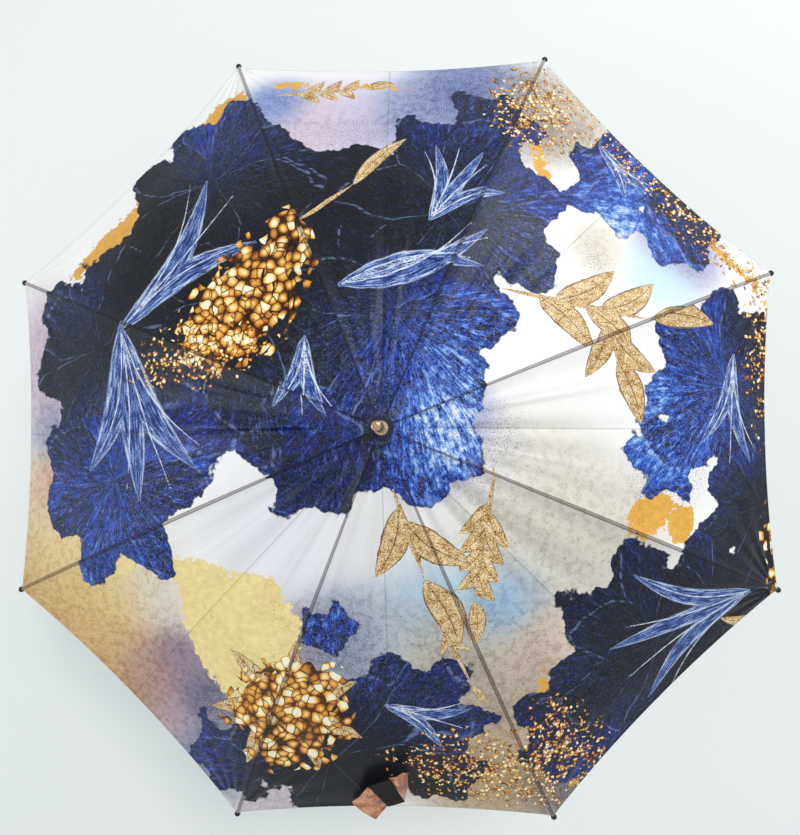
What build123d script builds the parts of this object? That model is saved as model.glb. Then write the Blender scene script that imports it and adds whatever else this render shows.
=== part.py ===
from build123d import *
from math import cos, radians, sin
import os

# A manual stick umbrella: eight channel-section ribs on a crown notch, eight stretchers on a sliding runner,
# a sewn eight-gore cover, a post ferrule and a crook handle. It is drawn open. Lengths are millimetres,
# +Z runs up the shaft towards the ferrule, and the origin is on the shaft's axis, halfway up the straight grip.

# ---- Driving dimensions ----
RIB_COUNT = 8
FIRST_AZIMUTH = 22.5  # degrees round the shaft from +X to rib 1
RIB_LENGTH = 580.0  # along the curve, from the crown hinge to the rib's end
RIB_TURN = 26.0  # degrees that the rib's curve turns through over its length
CROWN_ANGLE = 78.0  # degrees between the open rib at its hinge and straight down
JOINT_ARC = 250.0  # along the rib, from the crown hinge to the stretcher's rivet
HINGE_RADIUS = 11.0  # shaft axis to the rib hinges, and to the stretcher hinges in the runner
CROWN_Z = 660.0  # height of the rib hinges above the middle of the grip
FOLD_ANGLE = 64.3  # degrees each rib turns between open and folded

RIB_WIDTH, RIB_HEIGHT, RIB_WALL = 4.0, 3.6, 0.5
EYE_THICKNESS = 1.2  # flattened ends that turn on a wire or a rivet
RIB_EYE_RADIUS = 1.7
RIB_FLAT_LENGTH, RIB_FLAT_HEIGHT = 18.0, 3.0
CHANNEL_END_WALL = 4.0  # solid stretch between a flattened end and the open channel
WIRE_RADIUS = 0.6
RIVET_RADIUS, RIVET_HEAD = 0.8, 0.6  # a rivet stands out of the rib by its head on each side
RUNNING_GAP = 0.05

STRETCHER_WIDTH, STRETCHER_HEIGHT, STRETCHER_WALL = 2.6, 2.4, 0.5
STRETCHER_FLAT_LENGTH = 10.0

SHAFT_RADIUS, SHAFT_WALL = 5.0, 0.8
HUB_RADIUS = 14.5  # toothed rim of the notch and of the runner
HUB_HALF_HEIGHT = 3.0
SLOT_WIDTH = 2.0
SLOT_ROOT_RADIUS = 8.3

RUNNER_SLEEVE_RADIUS = 7.0
RUNNER_LENGTH = 57.0  # sleeve below the toothed rim
RUNNER_BORE_RADIUS = SHAFT_RADIUS + 0.08
RUNNER_RING_RADIUS, RUNNER_RING_HEIGHT = 8.5, 4.0

CLOTH = 0.5  # thickness of the cover
COVER_GAP = 0.8  # between the middle of the ribs' backs and the cover
COVER_START_RADIUS = 17.0
HEM_SAG = 15.0  # how far the middle of each hem draws in from the line between rib ends
GORE_GAP = 0.15  # each side of the fold line down the middle of a gore

ROSETTE_RADIUS = 18.5
INNER_ROSETTE_RADIUS = 15.0
FERRULE_RADIUS = 5.0
FERRULE_LENGTH = 78.0  # above its flange

GRIP_RADIUS = 11.0
GRIP_HALF_LENGTH = 55.0
CROOK_RADIUS = 32.0
CROOK_TAIL = 20.0

# ---- Worked out from the driving dimensions ----
PITCH = 360.0 / RIB_COUNT
HALF_PITCH = PITCH / 2
AZIMUTHS = [FIRST_AZIMUTH + PITCH * index for index in range(RIB_COUNT)]

RIB_CURVE_RADIUS = RIB_LENGTH / radians(RIB_TURN)
# Every radial plane has the shaft's radius as its x and the height above the rib hinges as its y. A rib is an
# arc about RIB_CENTRE, and an angle on it is that of the arc's own radius.
RIB_CENTRE = (
    HINGE_RADIUS - RIB_CURVE_RADIUS * cos(radians(CROWN_ANGLE)),
    -RIB_CURVE_RADIUS * sin(radians(CROWN_ANGLE)),
)


def rib_angle(arc_length):
    """Angle on the rib's arc, in degrees, at a distance along the rib from its hinge."""
    return CROWN_ANGLE - RIB_TURN * arc_length / RIB_LENGTH


def rib_point(angle, offset=0.0):
    """Point in a radial plane at an angle on the rib's arc, offset outwards from its centreline."""
    reach = RIB_CURVE_RADIUS + offset
    return (RIB_CENTRE[0] + reach * cos(radians(angle)), RIB_CENTRE[1] + reach * sin(radians(angle)))


END_ANGLE = rib_angle(RIB_LENGTH)
TIP = rib_point(END_ANGLE)
JOINT = rib_point(rib_angle(JOINT_ARC))
# The stretcher is as long as the chord from the crown hinge to the rivet, so the two make an isosceles triangle.
JOINT_LEAN = CROWN_ANGLE - RIB_TURN * JOINT_ARC / RIB_LENGTH / 2
STRETCHER_LENGTH = 2 * RIB_CURVE_RADIUS * sin(radians(RIB_TURN * JOINT_ARC / RIB_LENGTH / 2))
RUNNER_DROP = 2 * STRETCHER_LENGTH * cos(radians(JOINT_LEAN))
RUNNER_Z = CROWN_Z - RUNNER_DROP
RUNNER_TRAVEL = 2 * STRETCHER_LENGTH * (cos(radians(JOINT_LEAN - FOLD_ANGLE)) - cos(radians(JOINT_LEAN)))


def radial_plane(azimuth):
    """Upright plane through the shaft's axis, with its origin on the axis at the height of the rib hinges."""
    turn = radians(azimuth)
    return Plane(origin=(0, 0, CROWN_Z), x_dir=(cos(turn), sin(turn), 0), z_dir=(sin(turn), -cos(turn), 0))


def arc_band(plane, inner, outer, start, end):
    """Face between two arcs about the rib's centre, at offsets inner and outer, from angle start down to end."""
    with BuildSketch(plane) as band:
        with BuildLine():
            low = CenterArc(RIB_CENTRE, RIB_CURVE_RADIUS + inner, end, start - end)
            high = CenterArc(RIB_CENTRE, RIB_CURVE_RADIUS + outer, end, start - end)
            Line(low @ 0, high @ 0)
            Line(low @ 1, high @ 1)
        make_face()
    return band.sketch


def save(piece, label):
    """Names a finished piece and writes it as its own file."""
    piece.part.label = label
    export_step(piece.part, f"parts/{label}.step")


os.makedirs("parts", exist_ok=True)

# ---- Ribs ----
# A flattened eye on the crown wire, then a channel that opens downwards and carries the cover on its back.
RIB_TOP = RIB_HEIGHT / 2
FLAT_TOP = RIB_FLAT_HEIGHT / 2
FLAT_END_ANGLE = rib_angle(RIB_FLAT_LENGTH)
CHANNEL_ANGLE = rib_angle(RIB_FLAT_LENGTH + CHANNEL_END_WALL)
for number, azimuth in enumerate(AZIMUTHS, start=1):
    plane = radial_plane(azimuth)
    with BuildPart() as rib:
        extrude(arc_band(plane, -RIB_TOP, RIB_TOP, FLAT_END_ANGLE, END_ANGLE), RIB_WIDTH / 2, both=True)
        extrude(
            arc_band(plane, -RIB_TOP, RIB_TOP - RIB_WALL, CHANNEL_ANGLE, END_ANGLE),
            RIB_WIDTH / 2 - RIB_WALL,
            both=True,
            mode=Mode.SUBTRACT,
        )
        extrude(arc_band(plane, -FLAT_TOP, FLAT_TOP, CROWN_ANGLE, FLAT_END_ANGLE), EYE_THICKNESS / 2, both=True)
        with BuildSketch(plane):
            with Locations(rib_point(CROWN_ANGLE)):
                Circle(RIB_EYE_RADIUS)
        extrude(amount=EYE_THICKNESS / 2, both=True)
        with BuildSketch(plane):
            with Locations(rib_point(CROWN_ANGLE)):
                Circle(WIRE_RADIUS + RUNNING_GAP)
            with Locations(JOINT):
                Circle(RIVET_RADIUS)
        extrude(amount=RIB_WIDTH, both=True, mode=Mode.SUBTRACT)
    save(rib, f"rib_{number}")

# ---- Rib tips ----
# A ball on a short neck that meets the rib's end, with a tongue inside its channel.
TIP_BALL_RADIUS = 3.8
TIP_NECK_RADIUS, TIP_NECK_END_RADIUS, TIP_NECK_LENGTH = 2.9, 2.3, 4.0
TIP_BALL_REACH = 6.8  # rib's end to the ball's centre
TONGUE_LENGTH, TONGUE_HEIGHT, TONGUE_WIDTH = 7.0, 2.2, 2.4
TONGUE_DROP = 0.1  # below the middle of the rib's section
for number, azimuth in enumerate(AZIMUTHS, start=1):
    plane = radial_plane(azimuth)
    outward = plane.x_dir * sin(radians(END_ANGLE)) - Vector(0, 0, cos(radians(END_ANGLE)))
    tip_plane = Plane(origin=plane.from_local_coords(TIP), x_dir=outward, z_dir=plane.z_dir)
    with BuildPart() as rib_tip:
        with Locations(tip_plane * Pos(TIP_BALL_REACH, 0) * Rot(0, 90, 0)):
            Sphere(TIP_BALL_RADIUS)
        with Locations(tip_plane * Pos(TIP_NECK_LENGTH / 2, 0) * Rot(0, 90, 0)):
            Cone(TIP_NECK_RADIUS, TIP_NECK_END_RADIUS, TIP_NECK_LENGTH)
        with Locations(tip_plane * Pos(-TONGUE_LENGTH / 2, -TONGUE_DROP)):
            Box(TONGUE_LENGTH, TONGUE_HEIGHT, TONGUE_WIDTH)
    save(rib_tip, f"rib_tip_{number}")

# ---- Rivets between ribs and stretchers ----
for number, azimuth in enumerate(AZIMUTHS, start=1):
    with BuildPart() as rivet:
        with BuildSketch(radial_plane(azimuth)):
            with Locations(JOINT):
                Circle(RIVET_RADIUS)
        extrude(amount=RIB_WIDTH / 2 + RIVET_HEAD, both=True)
    save(rivet, f"joint_rivet_{number}")

# ---- Stretchers ----
# A channel with a flattened eye at each end, straight from the runner's hinge to the rib's rivet.
STRETCHER_MIDDLE = ((HINGE_RADIUS + JOINT[0]) / 2, (JOINT[1] - RUNNER_DROP) / 2)
STRETCHER_TILT = 90 - JOINT_LEAN
STRETCHER_EYE_RADIUS = 1.2
for number, azimuth in enumerate(AZIMUTHS, start=1):
    plane = radial_plane(azimuth)
    channel_length = STRETCHER_LENGTH - 2 * STRETCHER_FLAT_LENGTH
    flat_centre = (STRETCHER_LENGTH - STRETCHER_FLAT_LENGTH) / 2
    axis_plane = plane * Pos(*STRETCHER_MIDDLE) * Rot(0, 0, STRETCHER_TILT)
    with BuildPart() as stretcher:
        with BuildSketch(axis_plane):
            Rectangle(channel_length, STRETCHER_HEIGHT)
        extrude(amount=STRETCHER_WIDTH / 2, both=True)
        with BuildSketch(axis_plane):
            with Locations((0, -STRETCHER_WALL)):
                Rectangle(channel_length - 2 * CHANNEL_END_WALL, STRETCHER_HEIGHT)
        extrude(amount=STRETCHER_WIDTH / 2 - STRETCHER_WALL, both=True, mode=Mode.SUBTRACT)
        with BuildSketch(axis_plane):
            with Locations((-flat_centre, 0), (flat_centre, 0)):
                Rectangle(STRETCHER_FLAT_LENGTH, 2 * STRETCHER_EYE_RADIUS)
            with Locations((-STRETCHER_LENGTH / 2, 0), (STRETCHER_LENGTH / 2, 0)):
                Circle(STRETCHER_EYE_RADIUS)
        extrude(amount=EYE_THICKNESS / 2, both=True)
        with BuildSketch(axis_plane):
            with Locations((-STRETCHER_LENGTH / 2, 0)):
                Circle(WIRE_RADIUS + RUNNING_GAP)
            with Locations((STRETCHER_LENGTH / 2, 0)):
                Circle(RIVET_RADIUS + RUNNING_GAP)
        extrude(amount=STRETCHER_WIDTH, both=True, mode=Mode.SUBTRACT)
    save(stretcher, f"stretcher_{number}")

# ---- Cover ----
# Each panel is the cloth sewn along one rib, out to the fold line down the middle of the gore on either side.
# A gore is stretched straight across between its two ribs, so it is the rib's curve pushed sideways.
COVER_INNER = RIB_TOP + COVER_GAP
COVER_OUTER = COVER_INNER + CLOTH
COVER_START_ANGLE = rib_angle((COVER_START_RADIUS - HINGE_RADIUS) / sin(radians(CROWN_ANGLE)))
HALF_HEM = TIP[0] * sin(radians(HALF_PITCH))
HEM_MIDDLE = TIP[0] * cos(radians(HALF_PITCH)) - HEM_SAG
HEM_CURVE_RADIUS = (HALF_HEM**2 + HEM_SAG**2) / (2 * HEM_SAG)
GORE_OVERRUN = 10.0  # cloth pushed past the fold line before it is cut there
HEM_CUT_HEIGHT = 80.0  # of the cylinder that trims the hem
for number, azimuth in enumerate(AZIMUTHS, start=1):
    plane = radial_plane(azimuth)
    fold_plane = radial_plane(azimuth + HALF_PITCH)
    hem_centre = fold_plane.x_dir * (HEM_MIDDLE + HEM_CURVE_RADIUS)
    with BuildPart() as panel:
        extrude(
            arc_band(plane, COVER_INNER, COVER_OUTER, COVER_START_ANGLE, END_ANGLE),
            HALF_HEM + GORE_OVERRUN,
            dir=fold_plane.z_dir * -1,
        )
        split(bisect_by=fold_plane.offset(GORE_GAP), keep=Keep.TOP)
        with BuildSketch(Plane(origin=hem_centre + Vector(0, 0, CROWN_Z + TIP[1] - HEM_CUT_HEIGHT / 2))):
            Circle(HEM_CURVE_RADIUS)
        extrude(amount=HEM_CUT_HEIGHT, mode=Mode.SUBTRACT)
        mirror(about=plane)
    save(panel, f"canopy_panel_{number}")

# ---- Shaft ----
# A tube from inside the grip up to the top of the notch. Each catch has its own slot, facing -X.
SHAFT_BOTTOM = -45.0
SHAFT_TOP = CROWN_Z + HUB_HALF_HEIGHT
CATCH_ARM = 22.0  # catch's pin to its shelf
CATCH_DEPTH = 2.6  # shaft's axis to the catch's pin
CATCH_WIDTH = 2.2
CATCH_PIN_RADIUS, CATCH_PIN_LENGTH = 0.7, 7.2  # the pin ends inside the tube's wall
CATCH_EYE_RADIUS = 1.5
CATCH_OUTLINE = [  # out from the shaft's axis, and from the shelf towards the pin
    (1.8, CATCH_ARM),
    (1.8, 0),
    (7.4, 0),
    (7.4, 2.0),
    (4.9, 11.0),
    (3.6, 12.5),
    (3.4, CATCH_ARM),
]
CATCH_SLOT_WIDTH, CATCH_SLOT_LENGTH = 2.8, 15.5
CATCH_SLOT_LAP = 1.0  # slot beyond the shelf
DRILL_LENGTH = 3 * SHAFT_RADIUS  # cross holes go right through the tube
RUNNER_GAP = 0.3  # between the runner and whatever it rests on at either end of its travel
WINDOW_RISE = 14.0  # runner's lower end to the lower edge of its window
TOP_SHELF_Z = RUNNER_Z - HUB_HALF_HEIGHT - RUNNER_LENGTH - RUNNER_GAP
BOTTOM_SHELF_Z = TOP_SHELF_Z + 2 * RUNNER_GAP + WINDOW_RISE - RUNNER_TRAVEL
STOP_RADIUS, STOP_LENGTH = 1.0, 15.0
STOP_Z = RUNNER_Z + HUB_HALF_HEIGHT + STOP_RADIUS + RUNNER_GAP
# Each catch has the height of its shelf, and the side of it that its pin is on.
CATCHES = {"top_catch": (TOP_SHELF_Z, -1), "bottom_catch": (BOTTOM_SHELF_Z, 1)}
with BuildPart() as shaft:
    with BuildSketch(Plane.XY.offset(SHAFT_BOTTOM)):
        Circle(SHAFT_RADIUS)
        Circle(SHAFT_RADIUS - SHAFT_WALL, mode=Mode.SUBTRACT)
    extrude(amount=SHAFT_TOP - SHAFT_BOTTOM)
    for shelf, side in CATCHES.values():
        with Locations((-SHAFT_RADIUS, 0, shelf + side * (CATCH_SLOT_LENGTH / 2 - CATCH_SLOT_LAP))):
            Box(2 * CATCH_DEPTH, CATCH_SLOT_WIDTH, CATCH_SLOT_LENGTH, mode=Mode.SUBTRACT)
        with Locations(Location((-CATCH_DEPTH, 0, shelf + side * CATCH_ARM), (90, 0, 0))):
            Cylinder(CATCH_PIN_RADIUS, DRILL_LENGTH, mode=Mode.SUBTRACT)
    with Locations(Location((0, 0, STOP_Z), (90, 0, 0))):
        Cylinder(STOP_RADIUS, DRILL_LENGTH, mode=Mode.SUBTRACT)
save(shaft, "shaft")

with BuildPart() as runner_stop:
    with Locations(Location((0, 0, STOP_Z), (90, 0, 0))):
        Cylinder(STOP_RADIUS, STOP_LENGTH)
save(runner_stop, "runner_stop")

# ---- Catches ----
# A lever inside the tube, hung on a pin, whose hooked end stands out of the slot: a flat shelf and a long ramp.
for label, (shelf, side) in CATCHES.items():
    side_plane = Plane(origin=(0, 0, shelf), x_dir=(-1, 0, 0), z_dir=(0, side, 0))
    with BuildPart() as catch:
        with BuildSketch(side_plane):
            with BuildLine():
                Polyline(*CATCH_OUTLINE, close=True)
            make_face()
            with Locations((CATCH_DEPTH, CATCH_ARM)):
                Circle(CATCH_EYE_RADIUS)
                Circle(CATCH_PIN_RADIUS + RUNNING_GAP, mode=Mode.SUBTRACT)
        extrude(amount=CATCH_WIDTH / 2, both=True)
    save(catch, label)

with BuildPart() as catch_pins:
    for shelf, side in CATCHES.values():
        with Locations(Location((-CATCH_DEPTH, 0, shelf + side * CATCH_ARM), (90, 0, 0))):
            Cylinder(CATCH_PIN_RADIUS, CATCH_PIN_LENGTH)
save(catch_pins, "catch_pins")

# ---- Notch and runner ----
# Both have a toothed rim: a slot for each rib or stretcher, and a ring of wire through the teeth.
HUB_ROOF = 1.0  # closes the notch's slots above the ribs
CORE_RADIUS, CORE_LENGTH = SLOT_ROOT_RADIUS - 0.4, 9.0  # sleeve below the notch's rim
with BuildPart() as notch:
    with BuildSketch(Plane.XY.offset(CROWN_Z - HUB_HALF_HEIGHT)):
        Circle(HUB_RADIUS)
    extrude(amount=2 * HUB_HALF_HEIGHT)
    with BuildSketch(Plane.XY.offset(CROWN_Z - HUB_HALF_HEIGHT)):
        with PolarLocations(SLOT_ROOT_RADIUS + HUB_RADIUS / 2, RIB_COUNT, start_angle=FIRST_AZIMUTH):
            Rectangle(HUB_RADIUS, SLOT_WIDTH)
    extrude(amount=2 * HUB_HALF_HEIGHT - HUB_ROOF, mode=Mode.SUBTRACT)
    with BuildSketch(Plane.XY.offset(CROWN_Z - HUB_HALF_HEIGHT)):
        Circle(CORE_RADIUS)
    extrude(amount=-CORE_LENGTH)
    with Locations((0, 0, CROWN_Z)):
        Torus(HINGE_RADIUS, WIRE_RADIUS, mode=Mode.SUBTRACT)
        Cylinder(SHAFT_RADIUS, 4 * CORE_LENGTH, mode=Mode.SUBTRACT)
save(notch, "notch")

with BuildPart() as notch_wire:
    with Locations((0, 0, CROWN_Z)):
        Torus(HINGE_RADIUS, WIRE_RADIUS)
save(notch_wire, "notch_wire")

WINDOW_WIDTH, WINDOW_HEIGHT = 4.0, 13.5
RUNNER_BOTTOM = RUNNER_Z - HUB_HALF_HEIGHT - RUNNER_LENGTH
with BuildPart() as runner:
    with BuildSketch(Plane.XY.offset(RUNNER_Z - HUB_HALF_HEIGHT)):
        Circle(HUB_RADIUS)
        with PolarLocations(SLOT_ROOT_RADIUS + HUB_RADIUS / 2, RIB_COUNT, start_angle=FIRST_AZIMUTH):
            Rectangle(HUB_RADIUS, SLOT_WIDTH, mode=Mode.SUBTRACT)
    extrude(amount=2 * HUB_HALF_HEIGHT)
    with BuildSketch(Plane.XY.offset(RUNNER_BOTTOM)):
        Circle(RUNNER_SLEEVE_RADIUS)
    extrude(amount=RUNNER_LENGTH)
    with BuildSketch(Plane.XY.offset(RUNNER_BOTTOM)):
        Circle(RUNNER_RING_RADIUS)
    extrude(amount=RUNNER_RING_HEIGHT)
    with Locations((0, 0, RUNNER_Z)):
        Torus(HINGE_RADIUS, WIRE_RADIUS, mode=Mode.SUBTRACT)
    with BuildSketch(Plane.XY.offset(RUNNER_BOTTOM)):
        Circle(RUNNER_BORE_RADIUS)
    extrude(amount=RUNNER_LENGTH + 3 * HUB_HALF_HEIGHT, mode=Mode.SUBTRACT)
    with Locations((-RUNNER_SLEEVE_RADIUS, 0, RUNNER_BOTTOM + WINDOW_RISE + WINDOW_HEIGHT / 2)):
        Box(RUNNER_SLEEVE_RADIUS, WINDOW_WIDTH, WINDOW_HEIGHT, mode=Mode.SUBTRACT)
save(runner, "runner")

# The runner's wire is broken at each slot, so that the stretchers' eyes pass through the slots freely.
with BuildPart() as runner_wire:
    with Locations((0, 0, RUNNER_Z)):
        Torus(HINGE_RADIUS, WIRE_RADIUS)
    with BuildSketch(Plane.XY.offset(RUNNER_Z - 2 * WIRE_RADIUS)):
        with PolarLocations(HINGE_RADIUS, RIB_COUNT, start_angle=FIRST_AZIMUTH):
            Rectangle(HUB_RADIUS / 2, SLOT_WIDTH)
    extrude(amount=4 * WIRE_RADIUS, mode=Mode.SUBTRACT)
save(runner_wire, "runner_wire")

# ---- Crown: plug, stud, rosettes and ferrule ----
STUD_RADIUS = 2.4
STUD_GAP, STUD_CHAMFER = 0.05, 0.5
STUD_BELOW, STUD_ABOVE = 25.0, 20.0  # stud's ends, measured from the top of the shaft
INNER_ROSETTE_Z = SHAFT_TOP
OUTER_ROSETTE_Z = SHAFT_TOP + 1.4  # leaves room for the cover's cloth between the two rosettes
ROSETTE_CLOTH = 0.8  # pleated, so thicker than the cover
ROSETTE_BORE_RADIUS = SHAFT_RADIUS + 0.2
FLANGE_RADIUS, FLANGE_HEIGHT = 7.5, 2.0
FERRULE_END_ROUND = 2.5
with BuildPart() as shaft_plug:
    with BuildSketch(Plane.XY.offset(SHAFT_TOP - STUD_BELOW)):
        Circle(SHAFT_RADIUS - SHAFT_WALL - STUD_GAP)
        Circle(STUD_RADIUS + STUD_GAP, mode=Mode.SUBTRACT)
    extrude(amount=STUD_BELOW)
save(shaft_plug, "shaft_plug")

with BuildPart() as ferrule_stud:
    with BuildSketch(Plane.XY.offset(SHAFT_TOP - STUD_BELOW)):
        Circle(STUD_RADIUS)
    extrude(amount=STUD_BELOW + STUD_ABOVE)
    chamfer(ferrule_stud.edges().group_by(Axis.Z)[0], STUD_CHAMFER)
    chamfer(ferrule_stud.edges().group_by(Axis.Z)[-1], STUD_CHAMFER)
save(ferrule_stud, "ferrule_stud")

with BuildPart() as inner_rosette:
    with BuildSketch(Plane.XY.offset(INNER_ROSETTE_Z)):
        Circle(INNER_ROSETTE_RADIUS)
        Circle(ROSETTE_BORE_RADIUS, mode=Mode.SUBTRACT)
    extrude(amount=CLOTH)
save(inner_rosette, "inner_rosette")

with BuildPart() as outer_rosette:
    with BuildSketch(Plane.XZ):
        with BuildLine():
            Polyline(
                (ROSETTE_BORE_RADIUS, OUTER_ROSETTE_Z),
                (ROSETTE_BORE_RADIUS, OUTER_ROSETTE_Z + ROSETTE_CLOTH),
                (ROSETTE_RADIUS, OUTER_ROSETTE_Z),
                (ROSETTE_RADIUS, OUTER_ROSETTE_Z - ROSETTE_CLOTH),
                close=True,
            )
        make_face()
    revolve(axis=Axis.Z)
save(outer_rosette, "outer_rosette")

FLANGE_Z = OUTER_ROSETTE_Z + ROSETTE_CLOTH
with BuildPart() as ferrule:
    with BuildSketch(Plane.XY.offset(SHAFT_TOP)):
        Circle(FERRULE_RADIUS)
    extrude(amount=FLANGE_Z - SHAFT_TOP + FLANGE_HEIGHT + FERRULE_LENGTH)
    fillet(ferrule.edges().group_by(Axis.Z)[-1], FERRULE_END_ROUND)
    with BuildSketch(Plane.XY.offset(FLANGE_Z)):
        Circle(FLANGE_RADIUS)
    extrude(amount=FLANGE_HEIGHT)
    with BuildSketch(Plane.XY.offset(SHAFT_TOP)):
        Circle(STUD_RADIUS + STUD_GAP)
    extrude(amount=STUD_ABOVE + STUD_GAP, mode=Mode.SUBTRACT)
save(ferrule, "ferrule")

# ---- Handle ----
COLLAR_HEIGHT, COLLAR_LOW_RADIUS, COLLAR_TOP_RADIUS = 9.0, 11.4, 8.5
with BuildPart() as handle:
    with BuildLine(Plane.XZ):
        Line((0, GRIP_HALF_LENGTH), (0, -GRIP_HALF_LENGTH))
        bend = CenterArc((CROOK_RADIUS, -GRIP_HALF_LENGTH), CROOK_RADIUS, 180, 180)
        tail = Line(bend @ 1, (2 * CROOK_RADIUS, CROOK_TAIL - GRIP_HALF_LENGTH))
    with BuildSketch(Plane.XY.offset(GRIP_HALF_LENGTH)):
        Circle(GRIP_RADIUS)
    sweep()
    with Locations(tail @ 1):
        Sphere(GRIP_RADIUS)
    with BuildSketch(Plane.XY.offset(GRIP_HALF_LENGTH)):
        Circle(SHAFT_RADIUS)
    extrude(amount=SHAFT_BOTTOM - GRIP_HALF_LENGTH, mode=Mode.SUBTRACT)
save(handle, "handle")

with BuildPart() as handle_collar:
    with BuildSketch(Plane.XY.offset(GRIP_HALF_LENGTH)):
        Circle(COLLAR_LOW_RADIUS)
    with BuildSketch(Plane.XY.offset(GRIP_HALF_LENGTH + COLLAR_HEIGHT)):
        Circle(COLLAR_TOP_RADIUS)
    loft()
    with BuildSketch(Plane.XY.offset(GRIP_HALF_LENGTH)):
        Circle(SHAFT_RADIUS + RUNNING_GAP)
    extrude(amount=COLLAR_HEIGHT, mode=Mode.SUBTRACT)
save(handle_collar, "handle_collar")

# ---- Tie strap ----
# It is sewn to the hem near the middle of the gore that faces -Y, and lies slanting across it.
STRAP_GORE = 5  # index of the rib on the left of that gore
STRAP_LENGTH, STRAP_WIDTH, STRAP_THICKNESS = 78.0, 26.0, 1.0
PATCH_LENGTH, PATCH_WIDTH, PATCH_THICKNESS = 24.0, 29.0, 1.2
STRAP_SLANT = 33.0  # degrees up the slope at its right-hand end
STRAP_SHIFT = -15.0  # from the gore's fold line to the strap's middle
STRAP_ANGLE = 53.9  # on the rib's arc, a little above the hem
STRAP_GAP = 0.6  # between the strap and the cover
strap_point = rib_point(STRAP_ANGLE, COVER_OUTER + STRAP_GAP)
narrowing = cos(radians(HALF_PITCH))
gore_plane = radial_plane(AZIMUTHS[STRAP_GORE] + HALF_PITCH)
slope_rise = Vector(0, 0, narrowing * sin(radians(STRAP_ANGLE)))
slope_normal = gore_plane.x_dir * cos(radians(STRAP_ANGLE)) + slope_rise
strap_plane = Plane(
    origin=gore_plane.from_local_coords((strap_point[0] * narrowing, strap_point[1])),
    x_dir=gore_plane.z_dir * -1,
    z_dir=slope_normal,
)
with BuildPart() as tie_strap:
    with BuildSketch(strap_plane):
        with Locations((STRAP_SHIFT, 0)):
            Rectangle(STRAP_LENGTH, STRAP_WIDTH, rotation=STRAP_SLANT)
    extrude(amount=STRAP_THICKNESS)
save(tie_strap, "tie_strap")

with BuildPart() as strap_patch:
    with BuildSketch(strap_plane.offset(STRAP_THICKNESS)):
        with Locations((STRAP_SHIFT, 0)):
            Rectangle(PATCH_LENGTH, PATCH_WIDTH, rotation=STRAP_SLANT)
    extrude(amount=PATCH_THICKNESS)
save(strap_patch, "strap_patch")
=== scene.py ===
from functools import partial, reduce
from math import cos, degrees, hypot, pi, radians, sin, tau

import bpy
import numpy as np
from mathutils import Euler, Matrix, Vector


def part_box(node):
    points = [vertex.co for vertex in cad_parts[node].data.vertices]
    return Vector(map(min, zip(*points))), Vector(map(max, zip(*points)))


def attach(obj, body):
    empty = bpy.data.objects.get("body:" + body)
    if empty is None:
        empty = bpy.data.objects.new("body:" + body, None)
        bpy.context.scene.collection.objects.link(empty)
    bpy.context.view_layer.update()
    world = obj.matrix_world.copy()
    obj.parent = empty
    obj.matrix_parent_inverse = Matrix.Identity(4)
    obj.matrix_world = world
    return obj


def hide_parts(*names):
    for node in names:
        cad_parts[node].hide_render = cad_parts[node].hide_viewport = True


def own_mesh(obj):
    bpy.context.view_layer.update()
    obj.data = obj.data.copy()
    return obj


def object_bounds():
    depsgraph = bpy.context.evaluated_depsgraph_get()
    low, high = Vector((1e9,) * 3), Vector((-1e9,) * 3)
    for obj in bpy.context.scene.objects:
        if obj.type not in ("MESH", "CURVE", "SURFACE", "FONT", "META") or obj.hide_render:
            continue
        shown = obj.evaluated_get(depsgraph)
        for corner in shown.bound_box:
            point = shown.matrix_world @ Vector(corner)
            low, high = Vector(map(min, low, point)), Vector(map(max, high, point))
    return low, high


# An eight-rib stick umbrella with a sewn satin cover. Lengths are metres, in the CAD part's own frame: +Z
# runs up the shaft to the ferrule, and rib 1 points 22.5 degrees round from +X.

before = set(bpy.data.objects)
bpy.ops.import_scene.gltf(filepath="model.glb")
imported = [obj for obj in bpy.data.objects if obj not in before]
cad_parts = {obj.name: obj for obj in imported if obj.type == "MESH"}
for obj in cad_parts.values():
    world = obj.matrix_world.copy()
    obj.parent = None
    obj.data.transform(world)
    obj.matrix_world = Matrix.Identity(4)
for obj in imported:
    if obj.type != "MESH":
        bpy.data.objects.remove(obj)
CAD_LOW, CAD_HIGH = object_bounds()

RIB_COUNT = 8
FIRST_AZIMUTH = 22.5
PITCH = 360 / RIB_COUNT
HALF_PITCH = PITCH / 2
AZIMUTHS = [FIRST_AZIMUTH + PITCH * index for index in range(RIB_COUNT)]

# The rib's curve, as the CAD part has it: an arc in each radial plane, in (radius, height).
HINGE_RADIUS = 0.011
HINGE_Z = 0.660
RIB_LENGTH = 0.580
RIB_TURN = radians(26)
CROWN_ANGLE = radians(78)
CURVE_RADIUS = RIB_LENGTH / RIB_TURN
CURVE_CENTRE = (
    HINGE_RADIUS - CURVE_RADIUS * cos(CROWN_ANGLE),
    HINGE_Z - CURVE_RADIUS * sin(CROWN_ANGLE),
)
END_ANGLE = CROWN_ANGLE - RIB_TURN
CLOTH_OFFSET = 0.0030  # rib's centreline to the cloth's upper face
CLOTH_THICKNESS = 0.0004
TIP_RADIUS = CURVE_CENTRE[0] + CURVE_RADIUS * cos(END_ANGLE)
HEM_SAG = 0.015
HALF_HEM = TIP_RADIUS * sin(radians(HALF_PITCH))
HEM_CURVE_RADIUS = (HALF_HEM**2 + HEM_SAG**2) / (2 * HEM_SAG)

CLOTH_START_RADIUS = 0.014
CLOTH_SPACING = 0.0022
NOTCH_TOP = 0.6638  # the cloth lies over the notch and the inner rosette here

FLOOR_Z = CAD_LOW.z - 0.001


# ---- Small helpers ----
def srgb(red, green, blue):
    """Linear colour of an sRGB one, with full alpha."""
    linear = [c / 12.92 if c <= 0.04045 else ((c + 0.055) / 1.055) ** 2.4 for c in (red, green, blue)]
    return (*linear, 1.0)


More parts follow.
